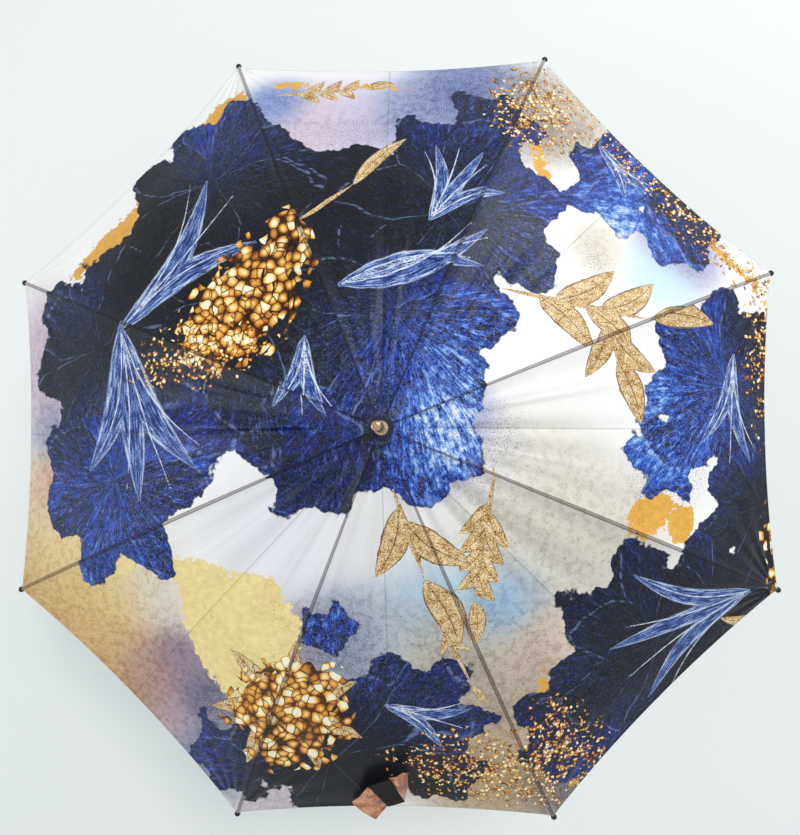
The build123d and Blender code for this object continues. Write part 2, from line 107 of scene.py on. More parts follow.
def linear_rows(colours):
    """The same for rows of sRGB colours."""
    linear = np.where(colours <= 0.04045, colours / 12.92, ((colours + 0.055) / 1.055) ** 2.4)
    return np.column_stack([linear, np.ones(len(linear))])


def smooth(value, low, high):
    """0 below low, 1 above high, and a smooth rise between."""
    t = np.clip((value - low) / (high - low), 0, 1)
    return t * t * (3 - 2 * t)


def rib_arc(angle, offset):
    """(radius, height) on the rib's arc at an angle, offset outwards from its centreline."""
    reach = CURVE_RADIUS + offset
    return CURVE_CENTRE[0] + reach * np.cos(angle), CURVE_CENTRE[1] + reach * np.sin(angle)


def new_mesh(name, points, faces, attributes=(), materials=(), material_index=None, smooth_shade=True):
    """A mesh object from points and faces, with float, vector or colour attributes on its points."""
    mesh = bpy.data.meshes.new(name)
    mesh.from_pydata(np.asarray(points).tolist(), [], faces)
    for label, values in dict(attributes).items():
        values = np.asarray(values, np.float32)
        kind, key = {1: ("FLOAT", "value"), 3: ("FLOAT_VECTOR", "vector"), 4: ("FLOAT_COLOR", "color")}[
            1 if values.ndim == 1 else values.shape[1]
        ]
        mesh.attributes.new(label, kind, "POINT").data.foreach_set(key, values.ravel())
    for material in materials:
        mesh.materials.append(material)
    if material_index is not None:
        mesh.polygons.foreach_set("material_index", np.asarray(material_index, np.int32))
    mesh.polygons.foreach_set("use_smooth", [smooth_shade] * len(mesh.polygons))
    mesh.set_sharp_from_angle(angle=radians(50))
    mesh.update()
    piece = bpy.data.objects.new(name, mesh)
    bpy.context.scene.collection.objects.link(piece)
    return piece


# ---- The print ----
# A generic floral: round blooms of lobes, fans of long petals and leafy sprigs, each kind drawn by one
# function from where it starts and which way it heads. Everything is in plan, seen from above: x to the
# right, y away, in metres from the shaft's axis. Headings and turns are degrees from +X. Lobes are
# (x, y, half length, half width, turn), and blooms are (x, y, reach, number of lobes, turn).
FLOWERS = [
    (-0.17, 0.16, 0.215, 9, 10), (-0.35, 0.1, 0.12, 7, 40), (-0.33, -0.06, 0.12, 7, 0),
    (-0.22, 0.31, 0.115, 7, 20), (0.07, 0.25, 0.135, 8, 15), (0.01, 0.13, 0.13, 7, 0),
    (0.12, 0.37, 0.065, 6, 0), (0.03, 0.0, 0.085, 7, 25), (-0.07, -0.03, 0.07, 6, 0),
    (0.29, 0.32, 0.075, 6, 30), (0.36, 0.26, 0.065, 6, 0), (0.42, 0.05, 0.115, 8, 10),
    (0.33, -0.03, 0.055, 6, 0), (0.47, -0.1, 0.095, 7, 0), (0.33, -0.26, 0.135, 8, 20),
    (0.4, -0.22, 0.095, 7, 0), (0.23, -0.36, 0.08, 7, 0), (0.31, -0.38, 0.09, 7, 15),
    (0.03, -0.34, 0.09, 7, 0), (-0.07, -0.4, 0.095, 8, 20), (-0.2, -0.41, 0.06, 6, 0),
    (0.06, -0.41, 0.06, 6, 0), (-0.06, -0.22, 0.032, 5, 0),
]


def flower(x, y, reach, count, turn):
    """The lobes of one bloom: a ring of them round a middle one."""
    ring = [(0.66 * reach, radians(turn + 360 * i / count)) for i in range(count)]
    return [(x, y, 0.74 * reach, 0.74 * reach, 0)] + [
        (x + out * cos(a), y + out * sin(a), 0.42 * reach, 0.30 * reach, degrees(a)) for out, a in ring
    ]


BLOOMS = [lobe for start in FLOWERS for lobe in flower(*start)]
HEARTS = [(x, y) for x, y, reach, _, _ in FLOWERS if reach > 0.09]  # petals run out from these
# How light the bloom is: (x, y, reach, tone), from 0 near black through blue to 1 nearly white.
TONES = [
    (-0.17, 0.17, 0.1, 0.02), (-0.33, 0.21, 0.07, 0.05), (-0.4, 0.1, 0.05, 0.12), (-0.41, 0.16, 0.03, 0.3),
    (-0.27, 0.04, 0.04, 0.2), (-0.18, 0.34, 0.06, 0.18), (-0.21, 0.37, 0.04, 0.34), (0.0, 0.28, 0.08, 0.06),
    (-0.04, 0.22, 0.05, 0.03), (0.1, 0.375, 0.04, 0.36), (0.16, 0.36, 0.03, 0.28), (0.09, 0.31, 0.05, 0.12),
    (0.15, 0.27, 0.04, 0.34), (0.16, 0.2, 0.04, 0.4), (0.05, 0.21, 0.05, 0.16), (-0.1, 0.06, 0.05, 0.14),
    (-0.03, 0.12, 0.04, 0.3), (0.05, 0.12, 0.03, 0.48), (0.1, 0.13, 0.03, 0.42), (0.075, 0.085, 0.035, 1.0),
    (0.12, 0.07, 0.03, 0.46), (0.08, 0.03, 0.025, 1.0), (0.055, 0.0, 0.02, 0.95), (0.03, 0.05, 0.03, 0.42),
    (-0.06, -0.04, 0.05, 0.19), (-0.05, 0.03, 0.03, 0.3), (0.075, 0.02, 0.02, 1.0),
    (0.035, -0.045, 0.02, 1.0), (-0.03, 0.08, 0.035, 0.44), (-0.09, 0.025, 0.03, 0.38),
    (0.01, -0.06, 0.03, 0.14), (-0.23, -0.03, 0.06, 0.34), (-0.25, -0.1, 0.04, 0.46),
    (-0.33, -0.04, 0.05, 0.4), (-0.38, -0.1, 0.04, 0.42), (-0.4, 0.0, 0.03, 0.2),
    (-0.3, -0.13, 0.025, 0.52), (0.27, 0.38, 0.04, 0.1), (0.29, 0.33, 0.04, 0.5), (0.35, 0.28, 0.04, 0.28),
    (0.41, 0.23, 0.04, 0.26), (0.3, 0.24, 0.03, 0.72), (0.36, 0.22, 0.02, 0.5), (0.4, 0.1, 0.04, 0.3),
    (0.38, 0.03, 0.04, 0.54), (0.31, 0.0, 0.03, 0.66), (0.29, -0.06, 0.03, 0.34),
    (0.34, -0.03, 0.025, 0.74), (0.37, -0.07, 0.03, 0.42), (0.48, 0.12, 0.04, 0.04),
    (0.45, -0.02, 0.03, 0.24), (0.47, -0.12, 0.05, 0.05), (0.4, -0.11, 0.03, 0.2), (0.24, -0.2, 0.05, 0.12),
    (0.36, -0.24, 0.08, 0.09), (0.22, -0.35, 0.05, 0.16), (0.31, -0.38, 0.04, 0.24),
    (0.21, -0.27, 0.03, 0.2), (0.25, -0.45, 0.03, 0.3), (0.03, -0.34, 0.05, 0.14),
    (0.09, -0.33, 0.03, 0.28), (-0.03, -0.26, 0.04, 0.4), (-0.07, -0.205, 0.03, 0.52),
    (-0.04, -0.4, 0.06, 0.03), (-0.15, -0.43, 0.04, 0.1), (-0.22, -0.41, 0.03, 0.3),
]
# Washes of thin colour on the white ground, and two spots of painted shade: (x, y, reach, red, green, blue),
# sRGB.
WASHES_AND_SHADE = [
    (-0.42, -0.24, 0.06, 0.81, 0.64, 0.34), (-0.365, -0.285, 0.045, 0.85, 0.68, 0.44),
    (-0.365, -0.2, 0.045, 0.94, 0.84, 0.58), (-0.355, -0.335, 0.04, 0.74, 0.54, 0.38),
    (-0.303, -0.292, 0.025, 0.74, 0.57, 0.6), (-0.262, -0.272, 0.022, 0.56, 0.48, 0.56),
    (-0.276, -0.35, 0.032, 0.74, 0.64, 0.7), (-0.224, -0.33, 0.024, 0.38, 0.37, 0.48),
    (-0.228, -0.403, 0.03, 0.38, 0.44, 0.58), (-0.277, -0.206, 0.024, 0.88, 0.86, 0.82),
    (-0.406, -0.142, 0.03, 0.93, 0.84, 0.62), (-0.43, -0.07, 0.025, 0.86, 0.7, 0.58),
    (-0.435, 0.0, 0.02, 0.64, 0.66, 0.76), (-0.43, 0.085, 0.04, 0.8, 0.72, 0.78),
    (-0.1, 0.385, 0.03, 0.86, 0.79, 0.84), (-0.04, 0.375, 0.035, 0.8, 0.76, 0.86),
    (-0.14, 0.415, 0.02, 0.4, 0.5, 0.76), (0.02, 0.4, 0.025, 0.5, 0.56, 0.74),
    (0.1, 0.43, 0.035, 0.36, 0.43, 0.66), (0.18, 0.4, 0.03, 0.62, 0.58, 0.52),
    (0.225, 0.405, 0.025, 0.8, 0.74, 0.66), (0.25, 0.22, 0.015, 0.9, 0.87, 0.82),
    (0.36, 0.23, 0.025, 0.62, 0.62, 0.8), (0.33, 0.19, 0.02, 0.8, 0.92, 0.97),
    (0.071, -0.239, 0.032, 0.72, 0.68, 0.6), (0.15, -0.33, 0.04, 0.76, 0.69, 0.6),
    (0.14, -0.41, 0.045, 0.7, 0.58, 0.4), (0.13, -0.19, 0.025, 0.5, 0.68, 0.84),
    (0.055, -0.185, 0.025, 0.66, 0.8, 0.9), (0.17, -0.24, 0.025, 0.83, 0.74, 0.66),
    (0.01, -0.22, 0.03, 0.74, 0.76, 0.8), (-0.045, -0.235, 0.03, 0.46, 0.5, 0.62),
    # The grey-beige spots at (0.16, -0.11) and (0.24, -0.13) are painted shade: they darken the gore that
    # faces lower right, away from the key light.
    (-0.095, -0.235, 0.02, 0.6, 0.54, 0.58), (0.16, -0.11, 0.05, 0.83, 0.81, 0.76),
    (0.24, -0.13, 0.035, 0.84, 0.82, 0.77), (0.02, -0.11, 0.035, 0.9, 0.9, 0.9),
    (0.12, -0.05, 0.025, 0.86, 0.85, 0.84), (0.05, -0.025, 0.022, 0.52, 0.55, 0.72),
    (0.085, 0.0, 0.018, 0.66, 0.68, 0.84), (-0.11, -0.12, 0.04, 0.9, 0.9, 0.92),
    (-0.12, -0.46, 0.04, 0.8, 0.76, 0.78), (0.48, 0.02, 0.02, 0.8, 0.74, 0.78),
    (0.22, -0.43, 0.03, 0.35, 0.34, 0.38),
]
GROUND = (0.975, 0.972, 0.968)
# Flat patches of foil and stain with torn edges, as lobes under their colour.
GOLD, YELLOW, LILAC = (0.90, 0.68, 0.30), (0.95, 0.87, 0.61), (0.57, 0.56, 0.66)
FOILS = {
    GOLD: [
        (-0.365, 0.245, 0.07, 0.018, 45), (-0.305, 0.315, 0.05, 0.014, 45), (-0.23, 0.395, 0.06, 0.026, 52),
        (-0.13, 0.455, 0.03, 0.006, -5), (-0.01, 0.45, 0.03, 0.004, -5), (0.305, -0.1, 0.035, 0.022, 25),
        (0.345, -0.115, 0.025, 0.018, 70), (0.187, 0.315, 0.009, 0.045, 10), (0.15, 0.395, 0.014, 0.01, 20),
        (0.425, 0.225, 0.085, 0.007, -46), (-0.01, -0.395, 0.05, 0.006, 8),
        (-0.29, 0.232, 0.016, 0.004, 10), (0.185, -0.31, 0.009, 0.03, 10),
        (0.235, -0.435, 0.01, 0.016, -20),
    ],
    YELLOW: [
        (-0.175, -0.25, 0.105, 0.056, -63), (-0.135, -0.225, 0.045, 0.04, 0),
        (-0.15, -0.185, 0.04, 0.026, 0), (-0.215, -0.165, 0.05, 0.018, -8), (-0.32, -0.155, 0.02, 0.016, 0),
    ],
    LILAC: [
        (0.03, -0.03, 0.03, 0.014, -25), (0.315, -0.055, 0.02, 0.018, 0),
    ],
}
# Fans of pale petals over the blooms: (x, y, heading, spread, count, length, half width).
SPRAYS = [
    (-0.05, 0.16, 16, 14, 2, 0.2, 0.013), (0.05, 0.24, 55, 62, 3, 0.12, 0.009),
    (-0.32, 0.12, 48, 34, 2, 0.235, 0.018), (-0.32, 0.12, -82, 48, 3, 0.215, 0.021),
    (-0.09, 0.1, -92, 40, 2, 0.105, 0.01), (0.45, -0.2, 198, 58, 3, 0.205, 0.012),
    (0.43, 0.09, -98, 36, 2, 0.15, 0.011), (0.0, -0.32, -22, 40, 2, 0.11, 0.009),
    (0.27, 0.37, -58, 30, 2, 0.1, 0.01),
]
# Gold sprigs: (x, y, heading, length, pairs of leaves, leaf's length, leaf's half width).
SPRIGS = [
    (0.13, 0.16, -10, 0.18, 2, 0.09, 0.017), (0.25, 0.13, -75, 0.06, 1, 0.075, 0.015),
    (0.12, -0.04, -98, 0.15, 4, 0.048, 0.01), (0.015, -0.06, -72, 0.11, 1, 0.085, 0.017),
    (0.06, -0.2, -66, 0.1, 1, 0.03, 0.005), (-0.1, 0.24, 40, 0.08, 0, 0.09, 0.009),
    (0.49, -0.225, 214, 0.1, 1, 0.06, 0.008), (-0.15, 0.435, 6, 0.12, 3, 0.036, 0.007),
]
LEAF_LEAN = 38  # degrees between a sprig's leaves and its stem


def reach_out(x, y, heading, length):
    return x + length * cos(radians(heading)), y + length * sin(radians(heading))


def spray(x, y, heading, spread, count, length, width):
    """Petals fanned out from one point, the outer ones shorter: (base, tip, half width, bow to the left)."""
    petals = []
    for turn in np.linspace(-1, 1, count):
        reach = length * (1 - 0.14 * abs(turn - 0.3))
        tip = reach_out(x, y, heading + turn * spread / 2, reach)
        petals.append((x, y, *tip, width, -0.10 * turn * reach))
    return petals


def sprig(x, y, heading, length, pairs, leaf, width):
    """A stem with paired leaves and one at its end, given as the petals are."""
    end = reach_out(x, y, heading, length)
    leaves = [(x, y, *end, 0.0030, 0.0), (*end, *reach_out(*end, heading + 8, leaf), width, 0.06 * leaf)]
    for pair in range(pairs):
        node = reach_out(x, y, heading, length * (0.30 + 0.62 * pair / pairs))
        for turn in (-1, 1):
            start = reach_out(*node, heading, 0.10 * leaf * turn)
            tip = reach_out(*start, heading + turn * LEAF_LEAN, leaf * (0.95 - 0.08 * pair))
            leaves.append((*start, *tip, 0.9 * width, -0.08 * turn * leaf))
    return leaves


PETALS = [petal for start in SPRAYS for petal in spray(*start)]
# Thin white strokes over the petals, in fans from the same points.
STROKES = [
    stroke
    for x, y, heading, spread, count, length, _ in SPRAYS
    for stroke in spray(x, y, heading + 4, 1.15 * spread, count + 1, 0.98 * length, 0.0013)
]
GOLD_LEAVES = [leaf for start in SPRIGS for leaf in sprig(*start)]
GOLD_LEAVES += spray(-0.115, -0.335, 80, 300, 7, 0.105, 0.014)  # round the gold cluster by the hem
# Clusters of gold stamens, and looser scatters of gold and cream dots, as lobes.
STAMENS = [
    (-0.165, 0.145, 0.08, 0.052, 55), (-0.12, 0.2, 0.04, 0.032, 60), (-0.115, -0.325, 0.07, 0.052, 25),
    (-0.115, -0.375, 0.045, 0.03, 20), (0.515, -0.17, 0.026, 0.06, 12),
]
DOTS = [
    (0.185, 0.41, 0.042, 0.045, 0), (0.4, 0.26, 0.055, 0.006, -46), (0.487, 0.09, 0.016, 0.045, 0),
    (0.15, -0.415, 0.09, 0.035, -5), (0.21, -0.385, 0.03, 0.04, 20), (-0.215, 0.085, 0.035, 0.015, 10),
]
SPECKS = [
    (0.06, -0.03, 0.07, 0.045, -20), (0.11, -0.01, 0.05, 0.04, 0), (0.33, -0.05, 0.06, 0.06, 0),
    (0.36, 0.22, 0.06, 0.03, -40), (-0.44, 0.05, 0.03, 0.12, 0), (-0.05, 0.37, 0.1, 0.03, 0),
    (0.1, -0.3, 0.08, 0.06, 0), (-0.28, -0.31, 0.09, 0.06, 30), (0.17, -0.27, 0.03, 0.08, 0),
    (0.23, 0.37, 0.05, 0.04, 0), (0.245, 0.2, 0.02, 0.04, 20), (0.08, -0.4, 0.06, 0.04, 0),
]
# Brushwork runs out from the hearts: it changes fast with the direction, and slowly with the distance.
FLOW_REACH, FLOW_STRETCH = 0.10, 0.16
FAR_LEAF = 4.0  # leaf coordinates are held to this many half widths


def lobe_depth(x, y, lobes, join=0.012):
    """How far inside the nearest lobe each point is, negative outside, with neighbours joined smoothly."""
    total = np.full(x.shape, -1.0)
    for centre_x, centre_y, half_length, half_width, turn in lobes:
        c, s = cos(radians(turn)), sin(radians(turn))
        along = (x - centre_x) * c + (y - centre_y) * s
        across = (y - centre_y) * c - (x - centre_x) * s
        depth = (1 - np.hypot(along / half_length, across / half_width)) * min(half_length, half_width)
        share = np.clip(0.5 + 0.5 * (total - depth) / join, 0, 1)
        total = depth + (total - depth) * share + join * share * (1 - share)
    return total


def blend_spots(x, y, spots, ground=(), ground_weight=0.0):
    """Values of round spots, (x, y, reach, values...), blended by nearness and over a ground value."""
    count = len(spots[0]) - 3
    weight = np.full(x.shape, ground_weight + 1e-9)
    total = np.outer(weight, ground if len(ground) else np.zeros(count))
    for centre_x, centre_y, reach, *values in spots:
        near = np.exp(-((x - centre_x) ** 2 + (y - centre_y) ** 2) / (2 * reach**2))
        weight += near
        total += np.outer(near, values)
    return total / weight[:, None]


def leaf_coordinates(x, y, leaves):
    """(along, ratio, side) in the nearest leaf: along is 0 to 1, ratio is 1 at its edge, side has a sign."""
    best = np.full(x.shape, FAR_LEAF)
    result = np.tile([0.5, FAR_LEAF, FAR_LEAF], (len(x), 1))
    for base_x, base_y, tip_x, tip_y, half_width, bow in leaves:
        length = hypot(tip_x - base_x, tip_y - base_y)
        axis_x, axis_y = (tip_x - base_x) / length, (tip_y - base_y) / length
        along = ((x - base_x) * axis_x + (y - base_y) * axis_y) / length
        held = np.clip(along, 0, 1)
        across = (y - base_y) * axis_x - (x - base_x) * axis_y - bow * np.sin(pi * held)
        width = half_width * np.sin(pi * np.clip(held, 0.02, 0.98) ** 0.8) ** 0.75
        beyond = np.abs(along - held) * length
        ratio = np.hypot(across, 2 * beyond) / width
        nearer = ratio < best
        best = np.where(nearer, ratio, best)
        result[nearer] = np.column_stack([held, ratio, np.sign(across) * ratio])[nearer]
    return result


def print_attributes(x, y, shift=(0.0, 0.0)):
    """Everything that the cloth's material reads, for points in plan. shift moves the print on one gore."""
    x, y = x + shift[0], y + shift[1]
    heart = np.array(HEARTS)
    gaps = np.hypot(x[:, None] - heart[:, 0], y[:, None] - heart[:, 1])
    pick = heart[np.argmin(gaps, axis=1)]
    out_x, out_y = x - pick[:, 0], y - pick[:, 1]
    gap = np.hypot(out_x, out_y) + 1e-6
    flow = np.column_stack([FLOW_REACH * out_x / gap, FLOW_REACH * out_y / gap, FLOW_STRETCH * gap])
    edge = lobe_depth(x, y, BLOOMS)
    stamens, dots, specks = [lobe_depth(x, y, lobes) for lobes in (STAMENS, DOTS, SPECKS)]
    foil_depths = np.array([lobe_depth(x, y, lobes, 0.004) for lobes in FOILS.values()])
    foil_colours = np.array(list(FOILS))[np.argmax(foil_depths, axis=0)]
    return {
        # Thin washes of the print, with painted shade on the gore that faces lower right.
        "wash_and_shade": linear_rows(blend_spots(x, y, WASHES_AND_SHADE, GROUND, 0.10)),
        "plan": np.column_stack([x, y, 0 * x]),
        "flow": flow,
        "bloom": np.column_stack([edge, blend_spots(x, y, TONES)[:, 0], specks]),
        "petal": leaf_coordinates(x, y, PETALS),
        "stroke": leaf_coordinates(x, y, STROKES),
        "gild": leaf_coordinates(x, y, GOLD_LEAVES),
        "grains": np.column_stack([stamens, dots, foil_depths.max(axis=0)]),
        "foil": linear_rows(foil_colours),
    }


# ---- Materials ----
class Shader:
    """A node material under a plain name. Its methods add nodes and give back the sockets that leave them."""

    def __init__(self, name, **settings):
        self.material = bpy.data.materials.new(name)
        self.material.use_nodes = True
        self.tree = self.material.node_tree
        self.surface = self.tree.nodes["Principled BSDF"]
        self.set(**settings)

    def set(self, **settings):
        """Sets the surface's sockets: a number, or a socket to link. Underscores stand for spaces."""
        for label, value in settings.items():
            self.put(self.surface.inputs[label.replace("_", " ")], value)

    def put(self, target, value):
        """Links a socket to an input, or sets it. Colours are given as sRGB, and None leaves it alone."""
        if isinstance(value, bpy.types.NodeSocket):
            self.tree.links.new(value, target)
        elif value is not None:
            target.default_value = srgb(*value) if target.type == "RGBA" else value

    def node(self, kind, *values, **settings):
        """A node with its settings, and its inputs filled in order."""
        node = self.tree.nodes.new("ShaderNode" + kind)
        for label, value in settings.items():
            setattr(node, label, value)
        for target, value in zip(node.inputs, values):
            self.put(target, value)
        return node

    def named(self, node, output, **inputs):
        """An output of a node whose inputs are filled by name."""
        for label, value in inputs.items():
            self.put(node.inputs[label], value)
        return node.outputs[output]

    def math(self, operation, *values):
        return self.node("Math", *values, operation=operation).outputs[0]

    def add(self, *values):
        return reduce(partial(self.math, "ADD"), values)

    def times(self, *values):
        return reduce(partial(self.math, "MULTIPLY"), values)

    def greatest(self, *values):
        return reduce(partial(self.math, "MAXIMUM"), values)

    def swing(self, noise, amount):
        """A noise's swing to either side of its middle, times an amount."""
        return self.times(self.add(noise, -0.5), amount)

    def fade(self, value, low, high):
        """0 at low, 1 at high, smooth between, and the other way round if low is the greater."""
        return self.node("MapRange", value, low, high, 0.0, 1.0, interpolation_type="SMOOTHSTEP").outputs[0]

    def line(self, value, centre, wide, thin):
        """1 within thin of a centre, and 0 further from it than wide."""
        offset = self.add(value, -centre) if centre else value
        return self.fade(self.math("ABSOLUTE", offset), wide, thin)

    def mix(self, share, under, over, blend="MIX"):
        node = self.node("Mix", data_type="RGBA", blend_type=blend)
        for socket, value in zip((node.inputs[0], node.inputs[6], node.inputs[7]), (share, under, over)):
            self.put(socket, value)
        return node.outputs[2]

    def darkened(self, colour, grey):
        """A colour times a grey value."""
        return self.mix(1.0, colour, self.node("CombineColor", grey, grey, grey).outputs[0], "MULTIPLY")

    def ramp(self, value, *stops):
        """A colour by value, between stops of (value, red, green, blue)."""
        node = self.node("ValToRGB", value)
        elements = node.color_ramp.elements
        while len(elements) < len(stops):
            elements.new(0.5)
        for element, (place, *colour) in zip(elements, stops):
            element.position, element.color = place, srgb(*colour)
        return node.outputs[0]

    def vector(self, operation, *values):
        return self.node("VectorMath", *values, operation=operation).outputs[0]

    def scaled(self, vector, *scale):
        return self.vector("MULTIPLY", vector, scale)

    def combined(self, *values):
        return self.node("CombineXYZ", *values).outputs[0]

    def parts(self, vector):
        return self.node("SeparateXYZ", vector).outputs[:]

    def attribute(self, name, output="Vector"):
        return self.node("Attribute", attribute_name=name).outputs[output]

    def place(self):
        return self.node("TexCoord").outputs["Object"]

    def noise(self, vector, scale, detail=3.0, roughness=0.55, distortion=0.0):
        settings = {"Detail": detail, "Roughness": roughness, "Distortion": distortion}
        return self.named(self.node("TexNoise"), "Fac", Vector=vector, Scale=scale, **settings)

    def colour_noise(self, vector, scale):
        return self.named(self.node("TexNoise"), "Color", Vector=vector, Scale=scale)

    def cells(self, vector, scale, feature="F1", output="Distance"):
        return self.named(self.node("TexVoronoi", feature=feature), output, Vector=vector, Scale=scale)

    def wave(self, vector, scale, distortion=0.0, direction="X"):
        node = self.node("TexWave", bands_direction=direction)
        return self.named(node, "Fac", Vector=vector, Scale=scale, Distortion=distortion)

    def bump(self, height, strength, distance, under=None):
        node = self.node("Bump")
        return self.named(node, "Normal", Height=height, Strength=strength, Distance=distance, Normal=under)


PETAL_SCALE = 11.0  # petals to the metre


class Cloth(Shader):
    """The cover's material: the attributes that its layers read, and the noises that they share."""

    def __init__(self, name):
        super().__init__(name, Specular_IOR_Level=0.27)
        self.plan, self.flow = self.attribute("plan"), self.attribute("flow")
        self.edge, self.tone, self.speck_depth = self.parts(self.attribute("bloom"))
        self.stamen_depth, self.dot_depth, self.foil_depth = self.parts(self.attribute("grains"))
        self.broad = self.noise(self.plan, 20, 3)
        self.medium = self.noise(self.plan, 110, 4, 0.62)
        self.fine = self.noise(self.plan, 560, 3, 0.65)
        self.brush = self.noise(self.flow, 240, 5, 0.66, 0.5)
        self.streak = self.noise(self.flow, 1000, 3, 0.65)
        self.curl = self.noise(self.plan, 170, 2, 0.5, 2.2)
        self.curl_line = self.line(self.curl, 0.5, 0.030, 0.006)
        self.ragged = self.add(self.edge, self.swing(self.broad, 0.050), self.swing(self.medium, 0.008))
        self.bloom = self.fade(self.ragged, 0.0, 0.0020)


def ground_layer(m):
    """White satin under thin washes, a few of them painted shade, with cloudy edges, scratched with fine ink
    and speckled grey lilac.
    """
    # The washes carry the print's thin colour and also painted shade on the gore that faces lower right.
    wash_and_shade = m.attribute("wash_and_shade", "Color")
    colour = m.darkened(wash_and_shade, m.add(0.90, m.times(m.add(m.medium, m.broad), 0.10)))
    pooled = m.fade(m.add(m.times(m.medium, 0.65), m.times(m.broad, 0.35)), 0.44, 0.60)
    depth = m.fade(m.parts(wash_and_shade)[2], 0.90, 0.50)
    colour = m.mix(m.times(pooled, depth, 0.45), colour, m.mix(1.0, colour, wash_and_shade, "MULTIPLY"))
    colour = m.mix(m.times(m.fade(m.fine, 0.52, 0.62), depth, 0.35), colour, (0.96, 0.95, 0.93))
    ink = m.times(m.curl_line, m.fade(m.medium, 0.46, 0.58), m.times(depth, 0.55))
    colour = m.mix(ink, colour, (0.22, 0.17, 0.20))
    speckled = m.fade(m.add(m.speck_depth, m.times(m.medium, 0.05)), 0.015, 0.045)
    return m.mix(m.times(speckled, m.fade(m.fine, 0.50, 0.60), 0.60), colour, (0.36, 0.34, 0.42))


def foil_layer(m, under):
    """Flat foil and stain, torn at the edges, mottled and scratched."""
    torn = m.add(m.foil_depth, m.swing(m.medium, 0.030))
    mottle = m.fade(m.add(m.times(m.medium, 0.6), m.times(m.fine, 0.4)), 0.36, 0.66)
    colour = m.darkened(m.attribute("foil", "Color"), m.add(m.times(mottle, 0.22), 0.88))
    scratches = m.times(m.curl_line, m.fade(m.broad, 0.48, 0.60), 0.5)
    return m.mix(m.fade(torn, 0.0, 0.0015), under, m.mix(scratches, colour, (0.30, 0.19, 0.10)))


def bloom_layer(m, under):
    """Blooms brushed outwards, from near black at the heart through ultramarine to a pale dry edge. Each
    petal has its own depth of colour and a broken pale rim."""
    bend = m.scaled(m.colour_noise(m.plan, 14), 0.03, 0.03, 0.03)
    long_flow = m.vector("ADD", m.scaled(m.flow, 1.0, 1.0, 3.4), bend)
    petal_pick = m.parts(m.cells(long_flow, PETAL_SCALE, "F1", "Color"))[0]
    petal_rim = m.cells(long_flow, PETAL_SCALE, "DISTANCE_TO_EDGE")
    loose = m.add(m.swing(m.brush, 1.1), m.swing(m.streak, 0.5), m.swing(m.medium, 0.7))
    brushed = m.times(loose, m.add(0.26, m.times(m.tone, 2.1)))
    colour = m.ramp(
        m.add(m.tone, brushed, m.swing(petal_pick, m.add(0.04, m.times(m.tone, 0.75)))),
        (0.06, 0.055, 0.052, 0.070),
        (0.18, 0.040, 0.062, 0.210),
        (0.31, 0.045, 0.120, 0.430),
        (0.45, 0.070, 0.230, 0.660),
        (0.60, 0.200, 0.440, 0.820),
        (0.76, 0.560, 0.720, 0.910),
        (1.00, 0.920, 0.940, 0.970),
    )
    petal_line = m.times(m.fade(petal_rim, 0.014, 0.004), m.fade(m.brush, 0.44, 0.56), 0.30)
    dry = m.fade(m.add(m.times(m.streak, 0.6), m.times(m.brush, 0.5)), 0.60, 0.72)
    shadow_line = m.line(m.curl, 0.42, 0.026, 0.006)
    rim = m.times(m.fade(m.ragged, 0.006, 0.001), m.fade(m.medium, 0.46, 0.54), 0.7)
    for share, ink in (
        (petal_line, (0.60, 0.70, 0.90)),
        (m.times(m.curl_line, m.times(m.tone, 0.85)), (0.66, 0.76, 0.92)),
        (m.times(dry, m.times(m.tone, 1.1)), (0.62, 0.74, 0.93)),
        (m.times(shadow_line, m.times(m.tone, 0.95)), (0.05, 0.08, 0.24)),
        (rim, (0.05, 0.07, 0.20)),
    ):
        colour = m.mix(share, colour, ink)
    return m.mix(m.bloom, under, colour)


def petal_layer(m, under):
    """Over the blooms, pale petals brushed lengthways, with one bright edge, and thin white strokes."""
    along, ratio, side = m.parts(m.attribute("petal"))
    inside = m.fade(m.add(ratio, m.swing(m.medium, 0.30)), 1.0, 0.80)
    grain = m.noise(m.combined(m.times(along, 1.5), side, 0.0), 5.0, 5, 0.62)
    edge_tone = m.times(m.math("POWER", ratio, 2.0), 0.16)
    colour = m.ramp(
        m.add(m.times(grain, 1.1), edge_tone, m.swing(m.fine, 0.40)),
        (0.38, 0.050, 0.065, 0.16),
        (0.51, 0.10, 0.19, 0.46),
        (0.62, 0.32, 0.46, 0.74),
        (0.76, 0.80, 0.86, 0.95),
    )
    edges = m.greatest(m.line(side, 0.84, 0.16, 0.02), m.times(m.line(side, -0.86, 0.12, 0.02), 0.55))
    veins = m.times(edges, m.fade(m.add(m.medium, m.times(m.fine, 0.5)), 0.62, 0.78), 0.9)
    colour = m.mix(veins, colour, (0.84, 0.89, 0.97))
    under = m.mix(m.times(inside, m.bloom, 0.92), under, colour)

    _, ratio, side = m.parts(m.attribute("stroke"))
    broken = m.add(0.45, m.times(m.fade(m.medium, 0.42, 0.54), 0.5))
    stroke = m.times(m.line(side, 0, 1.0, 0.5), m.fade(ratio, 2.2, 1.6), m.bloom, broken)
    return m.mix(stroke, under, (0.86, 0.90, 0.97))


